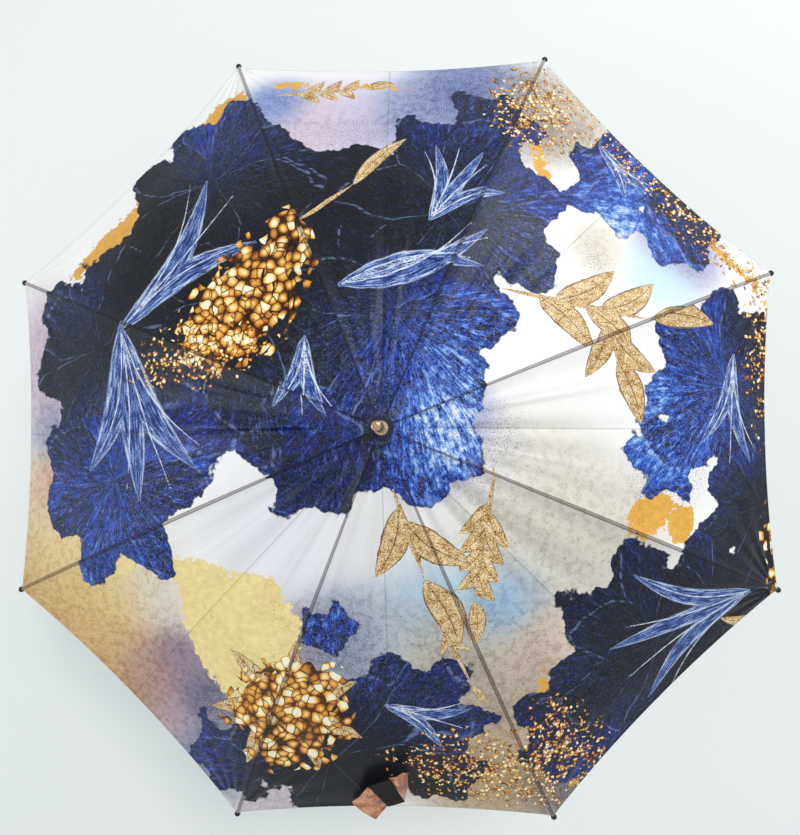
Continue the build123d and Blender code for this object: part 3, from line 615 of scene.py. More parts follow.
def gold_leaf_layer(m, under):
    """Gold leaves: dark outline and veins, foil broken up by hatching."""
    along, ratio, side = m.parts(m.attribute("gild"))
    torn = m.add(ratio, m.swing(m.medium, 0.26))
    slant = m.combined(m.add(m.times(along, 16.0), m.times(ratio, -2.5)), side, 0.0)
    hatch = m.fade(m.wave(slant, 1.2, 3.0), 0.25, 0.75)
    colour = m.ramp(
        m.add(m.times(m.medium, 0.36), m.times(m.fine, 0.64), m.swing(hatch, 0.10)),
        (0.40, 0.34, 0.21, 0.08),
        (0.45, 0.76, 0.53, 0.20),
        (0.50, 0.91, 0.74, 0.42),
        (0.57, 0.98, 0.93, 0.80),
    )
    drawn = m.greatest(m.line(torn, 0.95, 0.09, 0.03), m.line(side, 0, 0.07, 0.02))
    colour = m.mix(m.times(drawn, 0.75), colour, (0.26, 0.15, 0.05))
    colour = m.mix(m.times(m.curl_line, 0.5), colour, (0.34, 0.20, 0.07))
    return m.mix(m.fade(torn, 1.02, 0.97), under, colour)


def grain_layer(m, colour):
    """Stamens and dots: rounded grains, bright in the middle, inked at the edge, fewer at a cluster's rim."""
    bend = m.scaled(m.vector("SUBTRACT", m.colour_noise(m.plan, 60), (0.5, 0.5, 0.5)), 0.010, 0.010, 0.0)
    bent = m.vector("ADD", m.plan, bend)
    for depth, scale, spread, missing, ink in (
        (m.stamen_depth, 92.0, 0.030, 0.0, 0.9),
        (m.dot_depth, 260.0, 0.05, 0.42, 0.30),
    ):
        middle = m.cells(bent, scale)
        border = m.cells(bent, scale, "DISTANCE_TO_EDGE")
        pick = m.parts(m.cells(bent, scale, "F1", "Color"))
        keep = m.fade(m.add(depth, m.times(m.add(pick[0], -0.35), spread)), -0.0005, 0.0005)
        keep = m.times(keep, m.fade(pick[1], missing - 0.01, missing + 0.01))
        grain_colour = m.ramp(
            m.add(middle, m.swing(pick[2], 0.40), m.swing(m.fine, 0.36)),
            (0.18, 1.0, 0.97, 0.85),
            (0.32, 1.0, 0.87, 0.55),
            (0.46, 0.93, 0.67, 0.26),
            (0.62, 0.72, 0.43, 0.13),
            (0.76, 0.30, 0.15, 0.05),
        )
        colour = m.mix(m.times(keep, ink), colour, (0.06, 0.04, 0.05))
        colour = m.mix(m.times(keep, m.fade(border, 0.020, 0.055)), colour, grain_colour)
    return colour


def sewing_layer(m, colour):
    """Painted shade: the rib's shadow through each seam, between painted shaded lines beside the welt, and a
    painted shaded line down each gore's crease. The hem is folded and stitched, and darker at its very edge.
    """
    rib_gap, crease_gap, hem_gap = m.parts(m.attribute("cloth"))
    # Painted shade: the rib's shadow darkens the cloth over it.
    shade = m.mix(1.0, colour, (0.62, 0.57, 0.57), "MULTIPLY")
    colour = m.mix(m.times(m.fade(rib_gap, 0.0024, 0.0014), 0.80), colour, shade)
    # Painted shade in the grooves either side of the welt.
    welt_edge_shade = m.times(m.line(rib_gap, 0.0019, 0.0010, 0.0003), 0.50)
    stitches = m.fade(m.wave(m.plan, 260.0), 0.45, 0.60)
    hem_line = m.times(m.line(hem_gap, 0.0055, 0.0007, 0.0003), stitches, 0.40)
    hem_edge = m.times(m.fade(hem_gap, 0.0012, 0.0005), 0.45)
    # Painted shade down the fold crease in the middle of each gore.
    crease_shade = m.times(m.fade(crease_gap, 0.0010, 0.0002), 0.30)
    # Dark thread along the hem, a darker hem edge, and the painted shade beside the welt and down the crease.
    dark = m.greatest(welt_edge_shade, m.greatest(hem_line, hem_edge), crease_shade)
    return m.mix(dark, colour, (0.07, 0.065, 0.085))


def cloth_material(name, under_side=False):
    """Printed satin. The under side is the same print, paler and duller, as it soaks through."""
    m = Cloth(name)
    colour = ground_layer(m)
    for layer in (foil_layer, bloom_layer, petal_layer, gold_leaf_layer, grain_layer, sewing_layer):
        colour = layer(m, colour)
    if under_side:
        colour = m.mix(0.42, colour, (0.66, 0.68, 0.74))

    # Satin weave: long floats one way, fine picks the other, and a little unevenness in the sheen.
    x, y, _ = m.parts(m.plan)
    floats = m.noise(m.combined(m.times(x, 6.0), y, 0.0), 900, 2)
    weave = m.wave(m.plan, 900.0, 0.6, "DIAGONAL")
    normal = m.bump(m.add(m.times(floats, 0.6), m.times(weave, 0.4)), 0.10, 0.0004)
    normal = m.bump(m.broad, 0.25, 0.0030, normal)
    m.set(Base_Color=colour, Roughness=m.add(0.30, m.times(m.add(floats, m.fine), 0.09)), Normal=normal)
    return m.material


def fabric_material(name, dark, light, scale, roughness, sheen):
    """Plain woven cloth in two close colours."""
    m = Shader(name, Sheen_Weight=sheen, Sheen_Roughness=0.45)
    place = m.place()
    weave = m.add(m.times(m.wave(place, scale, 0.8), 0.5), m.times(m.wave(place, scale, 0.8, "Y"), 0.5))
    mottle = m.noise(place, 160, 4)
    colour = m.mix(m.add(m.times(weave, 0.35), m.times(mottle, 0.65)), dark, light)
    m.set(Base_Color=colour, Roughness=m.add(roughness - 0.08, m.times(mottle, 0.16)))
    m.set(Normal=m.bump(weave, 0.35, 0.0003, m.bump(mottle, 0.2, 0.0008)))
    return m.material


def strap_material(name):
    """Copper satin with small dark printed flecks, and painted shade and sheen that follow its soft folds."""
    m = Shader(name, Sheen_Weight=0.15, Sheen_Roughness=0.35, Metallic=0.0)
    place = m.place()
    folds_and_shade = m.noise(m.scaled(place, 1.0, 1.0, 2.0), 70, 4)
    fine = m.noise(place, 600, 3)
    # Painted shade and sheen: the colour darkens and lightens with the folds.
    colour = m.ramp(
        m.add(m.times(folds_and_shade, 0.7), m.times(fine, 0.3)),
        (0.36, 0.46, 0.25, 0.17),
        (0.50, 0.76, 0.47, 0.31),
        (0.64, 0.94, 0.71, 0.54),
    )
    fleck = m.times(m.fade(m.cells(place, 210.0), 0.26, 0.20), m.fade(m.noise(place, 60, 2), 0.50, 0.58), 0.8)
    colour = m.mix(fleck, colour, (0.16, 0.10, 0.10))
    m.set(Base_Color=colour, Roughness=m.add(0.28, m.times(folds_and_shade, 0.2)))
    m.set(Normal=m.bump(m.wave(place, 700.0, 0.5, "DIAGONAL"), 0.12, 0.0003, m.bump(folds_and_shade, 0.3, 0.0015)))
    return m.material


def metal_material(name, dark, light, roughness, metallic=1.0, worn=None, coat=0.0):
    """Metal with fine scratches and smudges, and rubbed bare patches where a worn colour is given."""
    m = Shader(name, Metallic=metallic, Coat_Weight=coat, Coat_Roughness=0.12)
    place = m.place()
    smudge = m.noise(place, 45, 4)
    scratch = m.noise(m.scaled(place, 1.0, 1.0, 0.12), 900, 3, 0.7)
    colour = m.mix(smudge, dark, light)
    if worn is not None:
        rubbed = m.times(m.fade(scratch, 0.60, 0.68), m.fade(smudge, 0.50, 0.62), 0.7)
        colour = m.mix(rubbed, colour, worn)
    m.set(Base_Color=colour, Roughness=m.add(roughness, m.times(m.add(smudge, scratch), 0.10)))
    m.set(Normal=m.bump(scratch, 0.10, 0.0002, m.bump(smudge, 0.08, 0.0006)))
    return m.material


def plastic_material(name, dark, light, roughness):
    """Moulded plastic: a faint orange-peel surface with slight scuffs."""
    m = Shader(name, Specular_IOR_Level=0.5)
    place = m.place()
    peel = m.noise(place, 700, 2)
    scuff = m.noise(place, 90, 5, 0.7)
    m.set(Base_Color=m.mix(m.fade(scuff, 0.35, 0.75), dark, light))
    m.set(Roughness=m.add(roughness, m.times(scuff, 0.18)), Normal=m.bump(peel, 0.12, 0.0003))
    return m.material


def wood_material(name):
    """Stained and lacquered hardwood, its grain running along the grip."""
    m = Shader(name, Coat_Weight=0.5, Coat_Roughness=0.12)
    place = m.place()
    rings = m.wave(m.scaled(place, 1.0, 1.0, 0.10), 55.0, 5.0)
    fibre = m.noise(m.scaled(place, 1.0, 1.0, 0.05), 900, 4, 0.7)
    pores = m.fade(m.noise(m.scaled(place, 1.0, 1.0, 0.07), 1600, 2), 0.62, 0.70)
    colour = m.ramp(
        m.add(m.times(rings, 0.55), m.times(fibre, 0.45)),
        (0.20, 0.17, 0.08, 0.045),
        (0.50, 0.31, 0.16, 0.085),
        (0.80, 0.45, 0.26, 0.14),
    )
    colour = m.mix(m.times(pores, 0.6), colour, (0.09, 0.045, 0.03))
    m.set(Base_Color=colour, Roughness=m.add(0.30, m.times(fibre, 0.15)))
    m.set(Normal=m.bump(m.add(fibre, m.times(pores, -0.5)), 0.15, 0.0004))
    return m.material


# ---- Camera, floor and light ----
# The camera hangs over the crown and looks almost straight down.
IMAGE_HEIGHT = 835
FOCAL_PIXELS = 850
SENSOR = 36
CAMERA_PLACE = (0.0526, -0.0227, HINGE_Z + 0.8748)
CAMERA_TURN = (0.0380, 0.0382, -0.0055)
camera_data = bpy.data.cameras.new("camera")
camera_data.sensor_width = SENSOR
camera_data.lens = SENSOR * FOCAL_PIXELS / IMAGE_HEIGHT
camera_data.clip_start = 0.01
camera = bpy.data.objects.new("camera", camera_data)
camera.location = CAMERA_PLACE
camera.rotation_euler = Euler(CAMERA_TURN)
bpy.context.scene.collection.objects.link(camera)
bpy.context.scene.camera = camera
bpy.context.scene.view_settings.view_transform = "Standard"

FLOOR_HALF = 6.0
floor_shader = Shader("floor_paper", Roughness=0.75)
floor_cloud = floor_shader.noise(floor_shader.place(), 1.2, 2)
floor_shader.set(Base_Color=floor_shader.mix(floor_cloud, (0.95, 0.97, 0.96), (0.97, 0.98, 0.97)))
floor_corners = [(x * FLOOR_HALF, y * FLOOR_HALF, FLOOR_Z) for x, y in ((-1, -1), (1, -1), (1, 1), (-1, 1))]
floor = new_mesh("floor", floor_corners, [(0, 1, 2, 3)], materials=[floor_shader.material])


def area_light(name, place, target, size, power, colour):
    """A square soft light that looks at a point."""
    data = bpy.data.lights.new(name, "AREA")
    data.size, data.energy, data.color = size, power, colour
    lamp = bpy.data.objects.new(name, data)
    lamp.location = place
    lamp.rotation_euler = (Vector(target) - Vector(place)).to_track_quat("-Z", "Y").to_euler()
    bpy.context.scene.collection.objects.link(lamp)


area_light("key", (0.7, 0.85, 3.4), (0, 0, 0.4), 0.8, 34, (1.0, 0.99, 0.97))
area_light("side", (2.3, 2.3, 1.9), (0, 0, 0.5), 0.9, 30, (1.0, 0.99, 0.97))
area_light("fill", (-2.6, -0.6, 1.7), (0, 0, 0.4), 1.2, 14, (0.95, 0.98, 1.0))
world = bpy.data.worlds.new("studio")
world.use_nodes = True
sky = world.node_tree.nodes["Background"]
sky.inputs["Color"].default_value = (0.93, 0.97, 1.0, 1)
sky.inputs["Strength"].default_value = 0.60
bpy.context.scene.world = world


# ---- The cover ----
# Each rib carries two pieces of cloth, one out to the middle of the gore on either side. The rows of the mesh
# lie across the gore, straight from rib to rib, and bend in near the hem to follow its curve.
GORE_SAG = 0.007  # how far the cloth hangs under the straight line between two ribs
HEM_SLACK = 0.0025  # and how much further at the hem
RIB_DIP, RIB_DIP_WIDTH = 0.0015, 0.005  # the cloth drops this much beside the rib that props it
CROWN_FOLD_HEIGHT, PLEAT_HEIGHT, GATHER_HEIGHT, RIPPLE_HEIGHT = 0.0030, 0.0022, 0.0019, 0.0016
GATHER_REACH = 0.055  # how far the folds fan in from a rib's tip
CREASE_HEIGHT, CREASE_WIDTH = 0.0008, 0.0022
HEM_FOLD, HEM_STEP = 0.006, 0.0003
LIFT_START, LIFT_END = 0.0150, 0.0250  # over the notch the cloth is lifted, and further out it is not
PRINT_SHIFT = 0.005  # the gores are cut apart, so the print steps at the seams
random = np.random.default_rng(7)
GORE_PHASES = random.uniform(0, tau, (RIB_COUNT, 6))
GORE_SHIFTS = random.uniform(-PRINT_SHIFT, PRINT_SHIFT, (RIB_COUNT, 2))


def half_gore_grid(spacing):
    """Rows from crown to hem: each point's angle on the rib's arc, and its share of the way to the rib."""
    start = np.arccos((CLOTH_START_RADIUS - CURVE_CENTRE[0]) / (CURVE_RADIUS + CLOTH_OFFSET))
    row_count = int(RIB_LENGTH / spacing) + 1
    angles = np.linspace(start, END_ANGLE, row_count)
    grid, faces, rows = [], [], []
    for angle in angles:
        half_width = rib_arc(angle, CLOTH_OFFSET)[0] * sin(radians(HALF_PITCH))
        count = max(2, int(half_width / spacing) + 1)
        first = len(grid)
        grid += [(angle, share) for share in np.linspace(0, 1, count)]
        rows.append((first, count))
    for (low, low_count), (high, high_count) in zip(rows, rows[1:]):
        i = j = 0
        while i < low_count - 1 or j < high_count - 1:
            step_low = (i + 1) / (low_count - 1) if i < low_count - 1 else 2
            step_high = (j + 1) / (high_count - 1) if j < high_count - 1 else 2
            if step_low <= step_high:
                faces.append((low + i, high + j, low + i + 1))
                i += 1
            else:
                faces.append((low + i, high + j, high + j + 1))
                j += 1
    middle = [first for first, _ in rows]
    rib_side = [first + count - 1 for first, count in rows]
    inner = list(range(rows[0][0], rows[0][0] + rows[0][1]))
    hem = list(range(rows[-1][0], rows[-1][0] + rows[-1][1]))
    border = inner[:-1] + rib_side[:-1] + hem[:0:-1] + middle[:0:-1]
    return np.array(grid), faces, border


def gore_surface(angle, share, gore):
    """The cloth's upper face in gore coordinates: out along the middle, to the side, and up, with relief.
    Also each point's distance from the rib's seam and from the hem."""
    phase = GORE_PHASES[gore]
    radius, height = rib_arc(angle, CLOTH_OFFSET)
    half_width = radius * sin(radians(HALF_PITCH))
    side = share * half_width
    out = radius * cos(radians(HALF_PITCH))
    down_gore = (CROWN_ANGLE - angle) / RIB_TURN

    # The hem draws in between the ribs, and the last rows follow it.
    hem_depth = np.sqrt(HEM_CURVE_RADIUS**2 - (share * HALF_HEM) ** 2) - (HEM_CURVE_RADIUS - HEM_SAG)
    pull = smooth(down_gore, 0.72, 1.0) * hem_depth * down_gore**2
    fall = np.cos(angle) / np.sin(angle)
    out = out - pull
    height = height + pull * fall / cos(radians(HALF_PITCH))

    rib_gap = half_width - side
    tension = 1 - share**2
    sag = GORE_SAG * np.sin(pi * np.clip(down_gore, 0, 1) ** 0.9) ** 0.8 + HEM_SLACK * down_gore
    relief = -sag * tension
    relief -= RIB_DIP * (1 - np.exp(-((rib_gap / RIB_DIP_WIDTH) ** 2))) * smooth(down_gore, 0.02, 0.10)

    # Soft folds run out from the crown, fan in from each rib's tip, and cross the open cloth.
    open_cloth = (1 - share**4) * smooth(rib_gap, 0.0, 0.012)
    crown_fold = smooth(down_gore, 0.04, 0.16) * (1 - smooth(down_gore, 0.34, 0.72))
    ripple = 1.4 * np.abs(np.sin(4.2 * share + phase[0])) - 0.7
    ripple = ripple + 0.6 * np.sin(13.0 * share + phase[1] + 2.0 * down_gore)
    relief += CROWN_FOLD_HEIGHT * crown_fold * open_cloth * ripple
    pleat_reach = smooth(down_gore, 0.10, 0.18) * (1 - smooth(down_gore, 0.30, 0.56))
    pleats = np.maximum(np.sin(23 * share + phase[5]), 0) ** 2 * np.maximum(np.sin(9 * share + phase[2]), 0)
    relief += PLEAT_HEIGHT * pleat_reach * open_cloth * pleats
    tip_gap = np.hypot(TIP_RADIUS - radius, rib_gap)
    tip_turn = np.arctan2(rib_gap, np.maximum(TIP_RADIUS - radius, 1e-4))
    gather = np.exp(-tip_gap / GATHER_REACH) * smooth(rib_gap, 0.0, 0.010)
    relief += GATHER_HEIGHT * gather * np.sin(15 * tip_turn + phase[2])
    diagonal = np.sin(38 * (out + 0.9 * side) + phase[3]) * np.sin(21 * (out - 0.6 * side) + phase[4])
    below_crown = smooth(down_gore, 0.25, 0.55)
    relief += RIPPLE_HEIGHT * open_cloth * below_crown * (1 - smooth(down_gore, 0.88, 1.0)) * diagonal
    relief += CREASE_HEIGHT * np.exp(-side / CREASE_WIDTH) * smooth(down_gore, 0.06, 0.14)
    hem_gap = (1 - down_gore) * RIB_LENGTH
    relief += HEM_STEP * (1 - smooth(hem_gap, HEM_FOLD - 0.001, HEM_FOLD + 0.001))
    height = height + relief
    lift = np.maximum(NOTCH_TOP - height, 0) * (1 - smooth(np.hypot(out, side), LIFT_START, LIFT_END))
    return out, side, height + lift, rib_gap, hem_gap


def seam_width(radius):
    """How wide a seam is there, as a share of its width by the hem."""
    return 0.50 + 0.50 * smooth(radius, 0.03, 0.24)


def face_normals(points, faces):
    """Normals of a mesh's triangles, each twice as long as its triangle's area."""
    corners = points[np.array(faces)]
    return np.cross(corners[:, 1] - corners[:, 0], corners[:, 2] - corners[:, 0])


def sheet_area(points, faces):
    return float(np.linalg.norm(face_normals(points, faces), axis=1).sum() / 2)


def vertex_normals(points, faces):
    """Unit normals of a triangle mesh's points, weighted by face area."""
    normals = np.zeros_like(points)
    for column in np.array(faces).T:
        np.add.at(normals, column, face_normals(points, faces))
    return normals / np.maximum(np.linalg.norm(normals, axis=1, keepdims=True), 1e-12)


def thicken(points, faces, border, thickness):
    """Points and faces of a closed sheet with the given one as its top, and 1 for each face below, else 0."""
    lower = points - vertex_normals(points, faces) * thickness
    count = len(points)
    closed = list(faces) + [tuple(count + i for i in face[::-1]) for face in faces]
    closed += [(b, a, count + a, count + b) for a, b in zip(border, border[1:] + border[:1])]
    return np.vstack([points, lower]), closed, [0] * len(faces) + [1] * len(faces) + [0] * len(border)


def strip(rows, columns):
    """Triangles and border of a grid of points, given row by row."""
    faces = []
    for row in range(rows - 1):
        for column in range(columns - 1):
            a = row * columns + column
            faces += [(a, a + columns, a + columns + 1), (a, a + columns + 1, a + 1)]
    last = (rows - 1) * columns
    first_row, last_row = range(columns - 1, 0, -1), range(last, last + columns - 1)
    first_column, last_column = range(0, last, columns), range(last + columns - 1, columns - 1, -columns)
    return faces, [*first_row, *first_column, *last_row, *last_column]


def both_sides(marks):
    """Marks on the upper points, given to the lower ones too."""
    return {label: np.concatenate([values, values]) for label, values in marks.items()}


satin = cloth_material("canopy_satin")
satin_under = cloth_material("canopy_satin_under", under_side=True)
grid, gore_faces, gore_border = half_gore_grid(CLOTH_SPACING)

# When the umbrella folds, each half gore swings with its rib.
FLAPS = {1: ("left", 0.35, radians(19)), -1: ("right", 0.06, radians(12))}


for index, azimuth in enumerate(AZIMUTHS):
    for side, (word, *_) in FLAPS.items():
        gore = index if side > 0 else (index - 1) % RIB_COUNT
        out, along_side, height, rib_gap, hem_gap = gore_surface(grid[:, 0], grid[:, 1], gore)
        middle = radians(azimuth + side * HALF_PITCH)
        x = out * cos(middle) + side * along_side * sin(middle)
        y = out * sin(middle) - side * along_side * cos(middle)
        points = np.column_stack([x, y, height])
        faces = gore_faces if side < 0 else [face[::-1] for face in gore_faces]
        border = gore_border if side > 0 else gore_border[::-1]
        closed_points, closed_faces, below = thicken(points, faces, border, CLOTH_THICKNESS)
        marks = print_attributes(x, y, GORE_SHIFTS[gore])
        marks["cloth"] = np.column_stack([rib_gap / seam_width(out), along_side, hem_gap])
        name = f"canopy_{index + 1}_{word}"
        piece = new_mesh(name, closed_points, closed_faces, both_sides(marks), [satin, satin_under], below)
        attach(piece, f"rib_{index + 1}")
        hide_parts(f"canopy_panel_{index + 1}")
        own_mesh(piece)

# ---- Seams ----
# A narrow welt along each rib, where the two gores are sewn together.
WELT_HALF, WELT_HEIGHT, WELT_THICKNESS = 0.0018, 0.0009, 0.0003
WELT_LIFT = 0.00005  # keeps its edges off the cloth
WELT_PROFILE = (-1.0, -0.6, -0.25, 0.0, 0.25, 0.6, 1.0)
WELT_START, WELT_SPACING = 0.004, 0.0025
WELT_TAPER, WELT_END = 0.010, 0.35  # it narrows over this length at the rib's tip, to this share of its width
NOTCH_COVER = 0.019  # inside this radius the cloth lies over the notch
UNCREASED = 0.1  # a distance from the fold line that leaves no crease
for index, azimuth in enumerate(AZIMUTHS):
    turn = radians(azimuth)
    spans = np.linspace(WELT_START / RIB_LENGTH, 1.0, int(RIB_LENGTH / WELT_SPACING))
    points, rib_gap = [], []
    for span in spans:
        radius, height = rib_arc(CROWN_ANGLE - RIB_TURN * span, CLOTH_OFFSET)
        height = max(height, NOTCH_TOP) if radius < NOTCH_COVER else height
        narrow = min(1.0, (1 - span) * RIB_LENGTH / WELT_TAPER + WELT_END)
        for place in WELT_PROFILE:
            across = place * WELT_HALF * narrow * seam_width(radius)
            x = radius * cos(turn) - across * sin(turn)
            y = radius * sin(turn) + across * cos(turn)
            points.append((x, y, height + (WELT_HEIGHT * (1 - place**2) + WELT_LIFT)))
            rib_gap.append(abs(across) / seam_width(radius))
    points = np.array(points)
    columns = len(WELT_PROFILE)
    faces, border = strip(len(spans), columns)
    closed_points, closed_faces, _ = thicken(points, faces, border, WELT_THICKNESS)
    marks = print_attributes(points[:, 0], points[:, 1], GORE_SHIFTS[index])
    hem_gap = np.repeat((1 - spans) * RIB_LENGTH, columns)
    marks["cloth"] = np.column_stack([rib_gap, np.full(len(points), UNCREASED), hem_gap])
    welt = new_mesh(f"seam_{index + 1}", closed_points, closed_faces, both_sides(marks), [satin])
    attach(welt, f"rib_{index + 1}")

# ---- CAD pieces that keep their shape ----
bright_steel = metal_material("rivet_steel", (0.55, 0.55, 0.56), (0.70, 0.70, 0.71), 0.22)
hub_plastic = plastic_material("hub_plastic", (0.05, 0.05, 0.055), (0.10, 0.10, 0.105), 0.36)
rosette_cloth = fabric_material("rosette_cloth", (0.02, 0.02, 0.045), (0.10, 0.15, 0.36), 900, 0.45, 0.2)
black_steel = metal_material(
    "rib_steel", (0.10, 0.10, 0.11), (0.16, 0.16, 0.17), 0.26, 0.85, (0.45, 0.45, 0.46)
)
shaft_steel = metal_material(
    "shaft_steel", (0.13, 0.13, 0.14), (0.20, 0.20, 0.21), 0.18, 0.9, (0.50, 0.50, 0.50), 0.4
)
spring_steel = metal_material("catch_steel", (0.50, 0.50, 0.52), (0.66, 0.66, 0.68), 0.28)
pale_gold_metal = metal_material(
    "ferrule_metal", (0.74, 0.62, 0.46), (0.88, 0.78, 0.60), 0.10, 1.0, (0.93, 0.88, 0.78), 0.3
)
collar_brass = metal_material(
    "collar_brass", (0.66, 0.50, 0.24), (0.83, 0.68, 0.38), 0.16, 1.0, (0.90, 0.80, 0.55), 0.2
)
tip_plastic = plastic_material("tip_plastic", (0.035, 0.035, 0.04), (0.07, 0.07, 0.075), 0.18)
FINISHES = [
    (black_steel, ["rib", "stretcher"]),
    (bright_steel, ["joint_rivet", "ferrule_stud", "notch_wire", "runner_wire", "runner_stop", "catch_pins"]),
    (hub_plastic, ["shaft_plug", "notch", "runner"]),
    (spring_steel, ["top_catch", "bottom_catch"]),
    (tip_plastic, ["rib_tip"]),
    (shaft_steel, ["shaft"]),
    (pale_gold_metal, ["ferrule"]),
    (collar_brass, ["handle_collar"]),
    (wood_material("handle_wood"), ["handle"]),
    (rosette_cloth, ["inner_rosette"]),
]
for material, families in FINISHES:
    for node_name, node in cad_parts.items():
        if node_name.rstrip("0123456789").rstrip("_") in families:
            node.data.materials.clear()
            node.data.materials.append(material)

# ---- Crown ----
ROSETTE_BORE, ROSETTE_RADIUS, ROSETTE_THICKNESS = 0.0052, 0.0132, 0.0004
ROSETTE_PLEATS = 26
ROSETTE_RINGS, ROSETTE_TURNS = 12, 12 * ROSETTE_PLEATS
OUTER_ROSETTE_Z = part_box("outer_rosette")[1].z


def ring_faces(rings, turns):
    """Triangles of a flat ring of points, ring by ring from the middle out."""
    faces = []
    for ring in range(rings - 1):
        for turn in range(turns):
            a, b = ring * turns + turn, ring * turns + (turn + 1) % turns
            faces += [(a, a + turns, b + turns), (a, b + turns, b)]
    return faces


def close_ring(points, rings, turns, thickness):
    """Points and faces of a thin closed solid with a ring of cloth as its top."""
    points, faces = np.array(points), ring_faces(rings, turns)
    lower = points - np.array([0, 0, thickness])
    count = len(points)
    closed = faces + [tuple(count + i for i in face[::-1]) for face in faces]
    for turn in range(turns):
        a, b = turn, (turn + 1) % turns
        closed.append((a, b, count + b, count + a))
        a, b = a + (rings - 1) * turns, b + (rings - 1) * turns
        closed.append((b, a, count + a, count + b))
    return np.vstack([points, lower]), closed


rosette_points = []
for ring in range(ROSETTE_RINGS):
    out = ring / (ROSETTE_RINGS - 1)
    for turn in range(ROSETTE_TURNS):
        angle = tau * turn / ROSETTE_TURNS
        pleat = sin(ROSETTE_PLEATS * angle + 0.8 * sin(3 * angle))
        scallop = 1 + 0.030 * out * sin(ROSETTE_PLEATS * angle + 0.6) + 0.02 * out * sin(5 * angle)
        radius = (ROSETTE_BORE + (ROSETTE_RADIUS - ROSETTE_BORE) * out) * scallop
        height = OUTER_ROSETTE_Z + 0.0005 - 0.0008 * out + 0.0009 * out * pleat + 0.0009 * sin(pi * out)
        rosette_points.append((radius * cos(angle), radius * sin(angle), height))
rosette_solid = close_ring(rosette_points, ROSETTE_RINGS, ROSETTE_TURNS, ROSETTE_THICKNESS)
rosette = new_mesh("crown_rosette", *rosette_solid, materials=[rosette_cloth])
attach(rosette, "frame")
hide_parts("outer_rosette")

CROWN_RINGS, CROWN_TURNS = 8, 64
CROWN_RADIUS, CROWN_THICKNESS = 0.0178, 0.0003
crown_points = []
for ring in range(CROWN_RINGS):
    radius = ROSETTE_BORE + (CROWN_RADIUS - ROSETTE_BORE) * ring / (CROWN_RINGS - 1)
    for turn in range(CROWN_TURNS):
        angle = tau * turn / CROWN_TURNS
        height = NOTCH_TOP + 0.0004 - 0.0002 * ring / (CROWN_RINGS - 1)
        crown_points.append((radius * cos(angle), radius * sin(angle), height))
closed_points, closed_faces = close_ring(crown_points, CROWN_RINGS, CROWN_TURNS, CROWN_THICKNESS)
crown_x, crown_y, _ = np.array(crown_points).T
marks = print_attributes(crown_x, crown_y)
marks["cloth"] = np.full((len(crown_points), 3), UNCREASED)
crown = new_mesh("crown_cloth", closed_points, closed_faces, both_sides(marks), [satin])
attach(crown, "frame")

# ---- Tie strap ----
# Copper satin folded over itself either side of a hook-and-loop patch. Outlines are (right, up) along the
# cloth, from the middle of the strap, and the third axis is away from the cloth.
strap_low, strap_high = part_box("strap_patch")
STRAP_AZIMUTH = radians(AZIMUTHS[5] + HALF_PITCH)
STRAP_LEAN = radians(53.9)
STRAP_SHIFT = (0.006, 0.010)
out_dir = Vector((cos(STRAP_AZIMUTH), sin(STRAP_AZIMUTH), 0))
STRAP_RISE = cos(radians(HALF_PITCH)) * sin(STRAP_LEAN)
strap_normal = (out_dir * cos(STRAP_LEAN) + Vector((0, 0, STRAP_RISE))).normalized()
strap_right = Vector((-sin(STRAP_AZIMUTH), cos(STRAP_AZIMUTH), 0))
strap_up = strap_normal.cross(strap_right)
STRAP_CENTRE = (strap_low + strap_high) / 2 + strap_right * STRAP_SHIFT[0] + strap_up * STRAP_SHIFT[1]


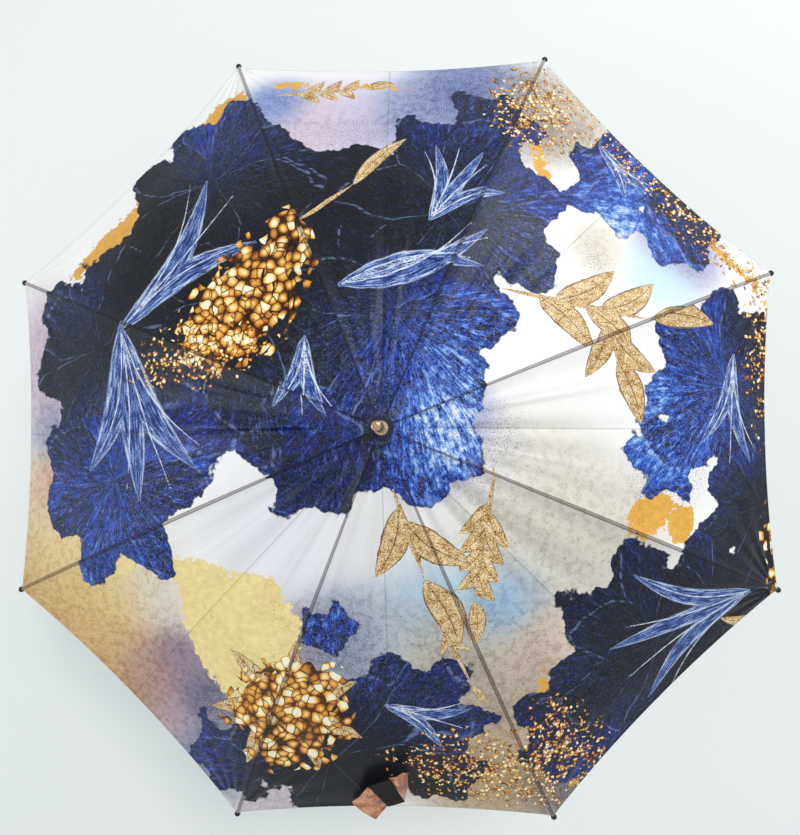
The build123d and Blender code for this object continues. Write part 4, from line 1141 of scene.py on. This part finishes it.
def strap_piece(name, upper, lower, relief, material, node_name, thickness, rows=48, columns=30):
    """A sheet between two outlines, each a list of (right, up), with relief(share along, share up)."""
    upper, lower = np.array(upper), np.array(lower)
    knots = np.linspace(0, 1, len(upper))
    points = []
    for row in range(rows):
        share = row / (rows - 1)
        high = np.array([np.interp(share, knots, upper[:, axis]) for axis in (0, 1)])
        low = np.array([np.interp(share, knots, lower[:, axis]) for axis in (0, 1)])
        for column in range(columns):
            over = column / (columns - 1)
            right, up = low + (high - low) * over
            flat = STRAP_CENTRE + strap_right * right + strap_up * up
            points.append(flat + strap_normal * relief(share, over))
    points = np.array([tuple(p) for p in points])
    faces, border = strip(rows, columns)
    closed_points, closed_faces, _ = thicken(points, faces, border, thickness)
    piece = new_mesh(name, closed_points, closed_faces, materials=[material])
    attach(piece, "rib_6")
    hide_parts(node_name)
    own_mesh(piece)
    return piece, sheet_area(points, faces)


def tent(share, ridge):
    """A fold: 0 at both ends and 1 along a sharp ridge between them."""
    return share / ridge if share < ridge else (1 - share) / (1 - ridge)


copper = strap_material("strap_satin")
loop_cloth = fabric_material("strap_loop", (0.012, 0.012, 0.015), (0.045, 0.045, 0.05), 1500, 0.85, 0.0)
left_strap, left_area = strap_piece(
    "tie_strap_tail",
    [(-0.0435, -0.0200), (-0.0330, 0.0010), (-0.0210, 0.0300), (0.0040, -0.0190)],
    [(-0.0430, -0.0225), (-0.0300, -0.0350), (-0.0140, -0.0450), (0.0030, -0.0235)],
    lambda share, over: -0.0016 + 0.0080 * tent(share, 0.66) + 0.0006 * sin(6 * over + 4 * share),
    copper,
    "tie_strap",
    0.0007,
)
right_strap, right_area = strap_piece(
    "tie_strap_loop",
    [(0.0050, 0.0395), (0.0150, 0.0500), (0.0225, 0.0670), (0.0285, 0.0510)],
    [(0.0080, 0.0340), (0.0160, 0.0180), (0.0235, 0.0060), (0.0285, 0.0200)],
    lambda share, over: 0.0004 + 0.0095 * tent(share, 0.66) + 0.0004 * sin(7 * over),
    copper,
    "tie_strap",
    0.0007,
)
patch, patch_area = strap_piece(
    "tie_strap_patch",
    [(-0.0205, 0.0270), (-0.0075, 0.0350), (0.0060, 0.0425)],
    [(0.0025, -0.0175), (0.0135, -0.0120), (0.0240, -0.0055)],
    lambda share, over: 0.0050 + 0.0002 * sin(40 * share) * sin(40 * over),
    loop_cloth,
    "strap_patch",
    0.0012,
)
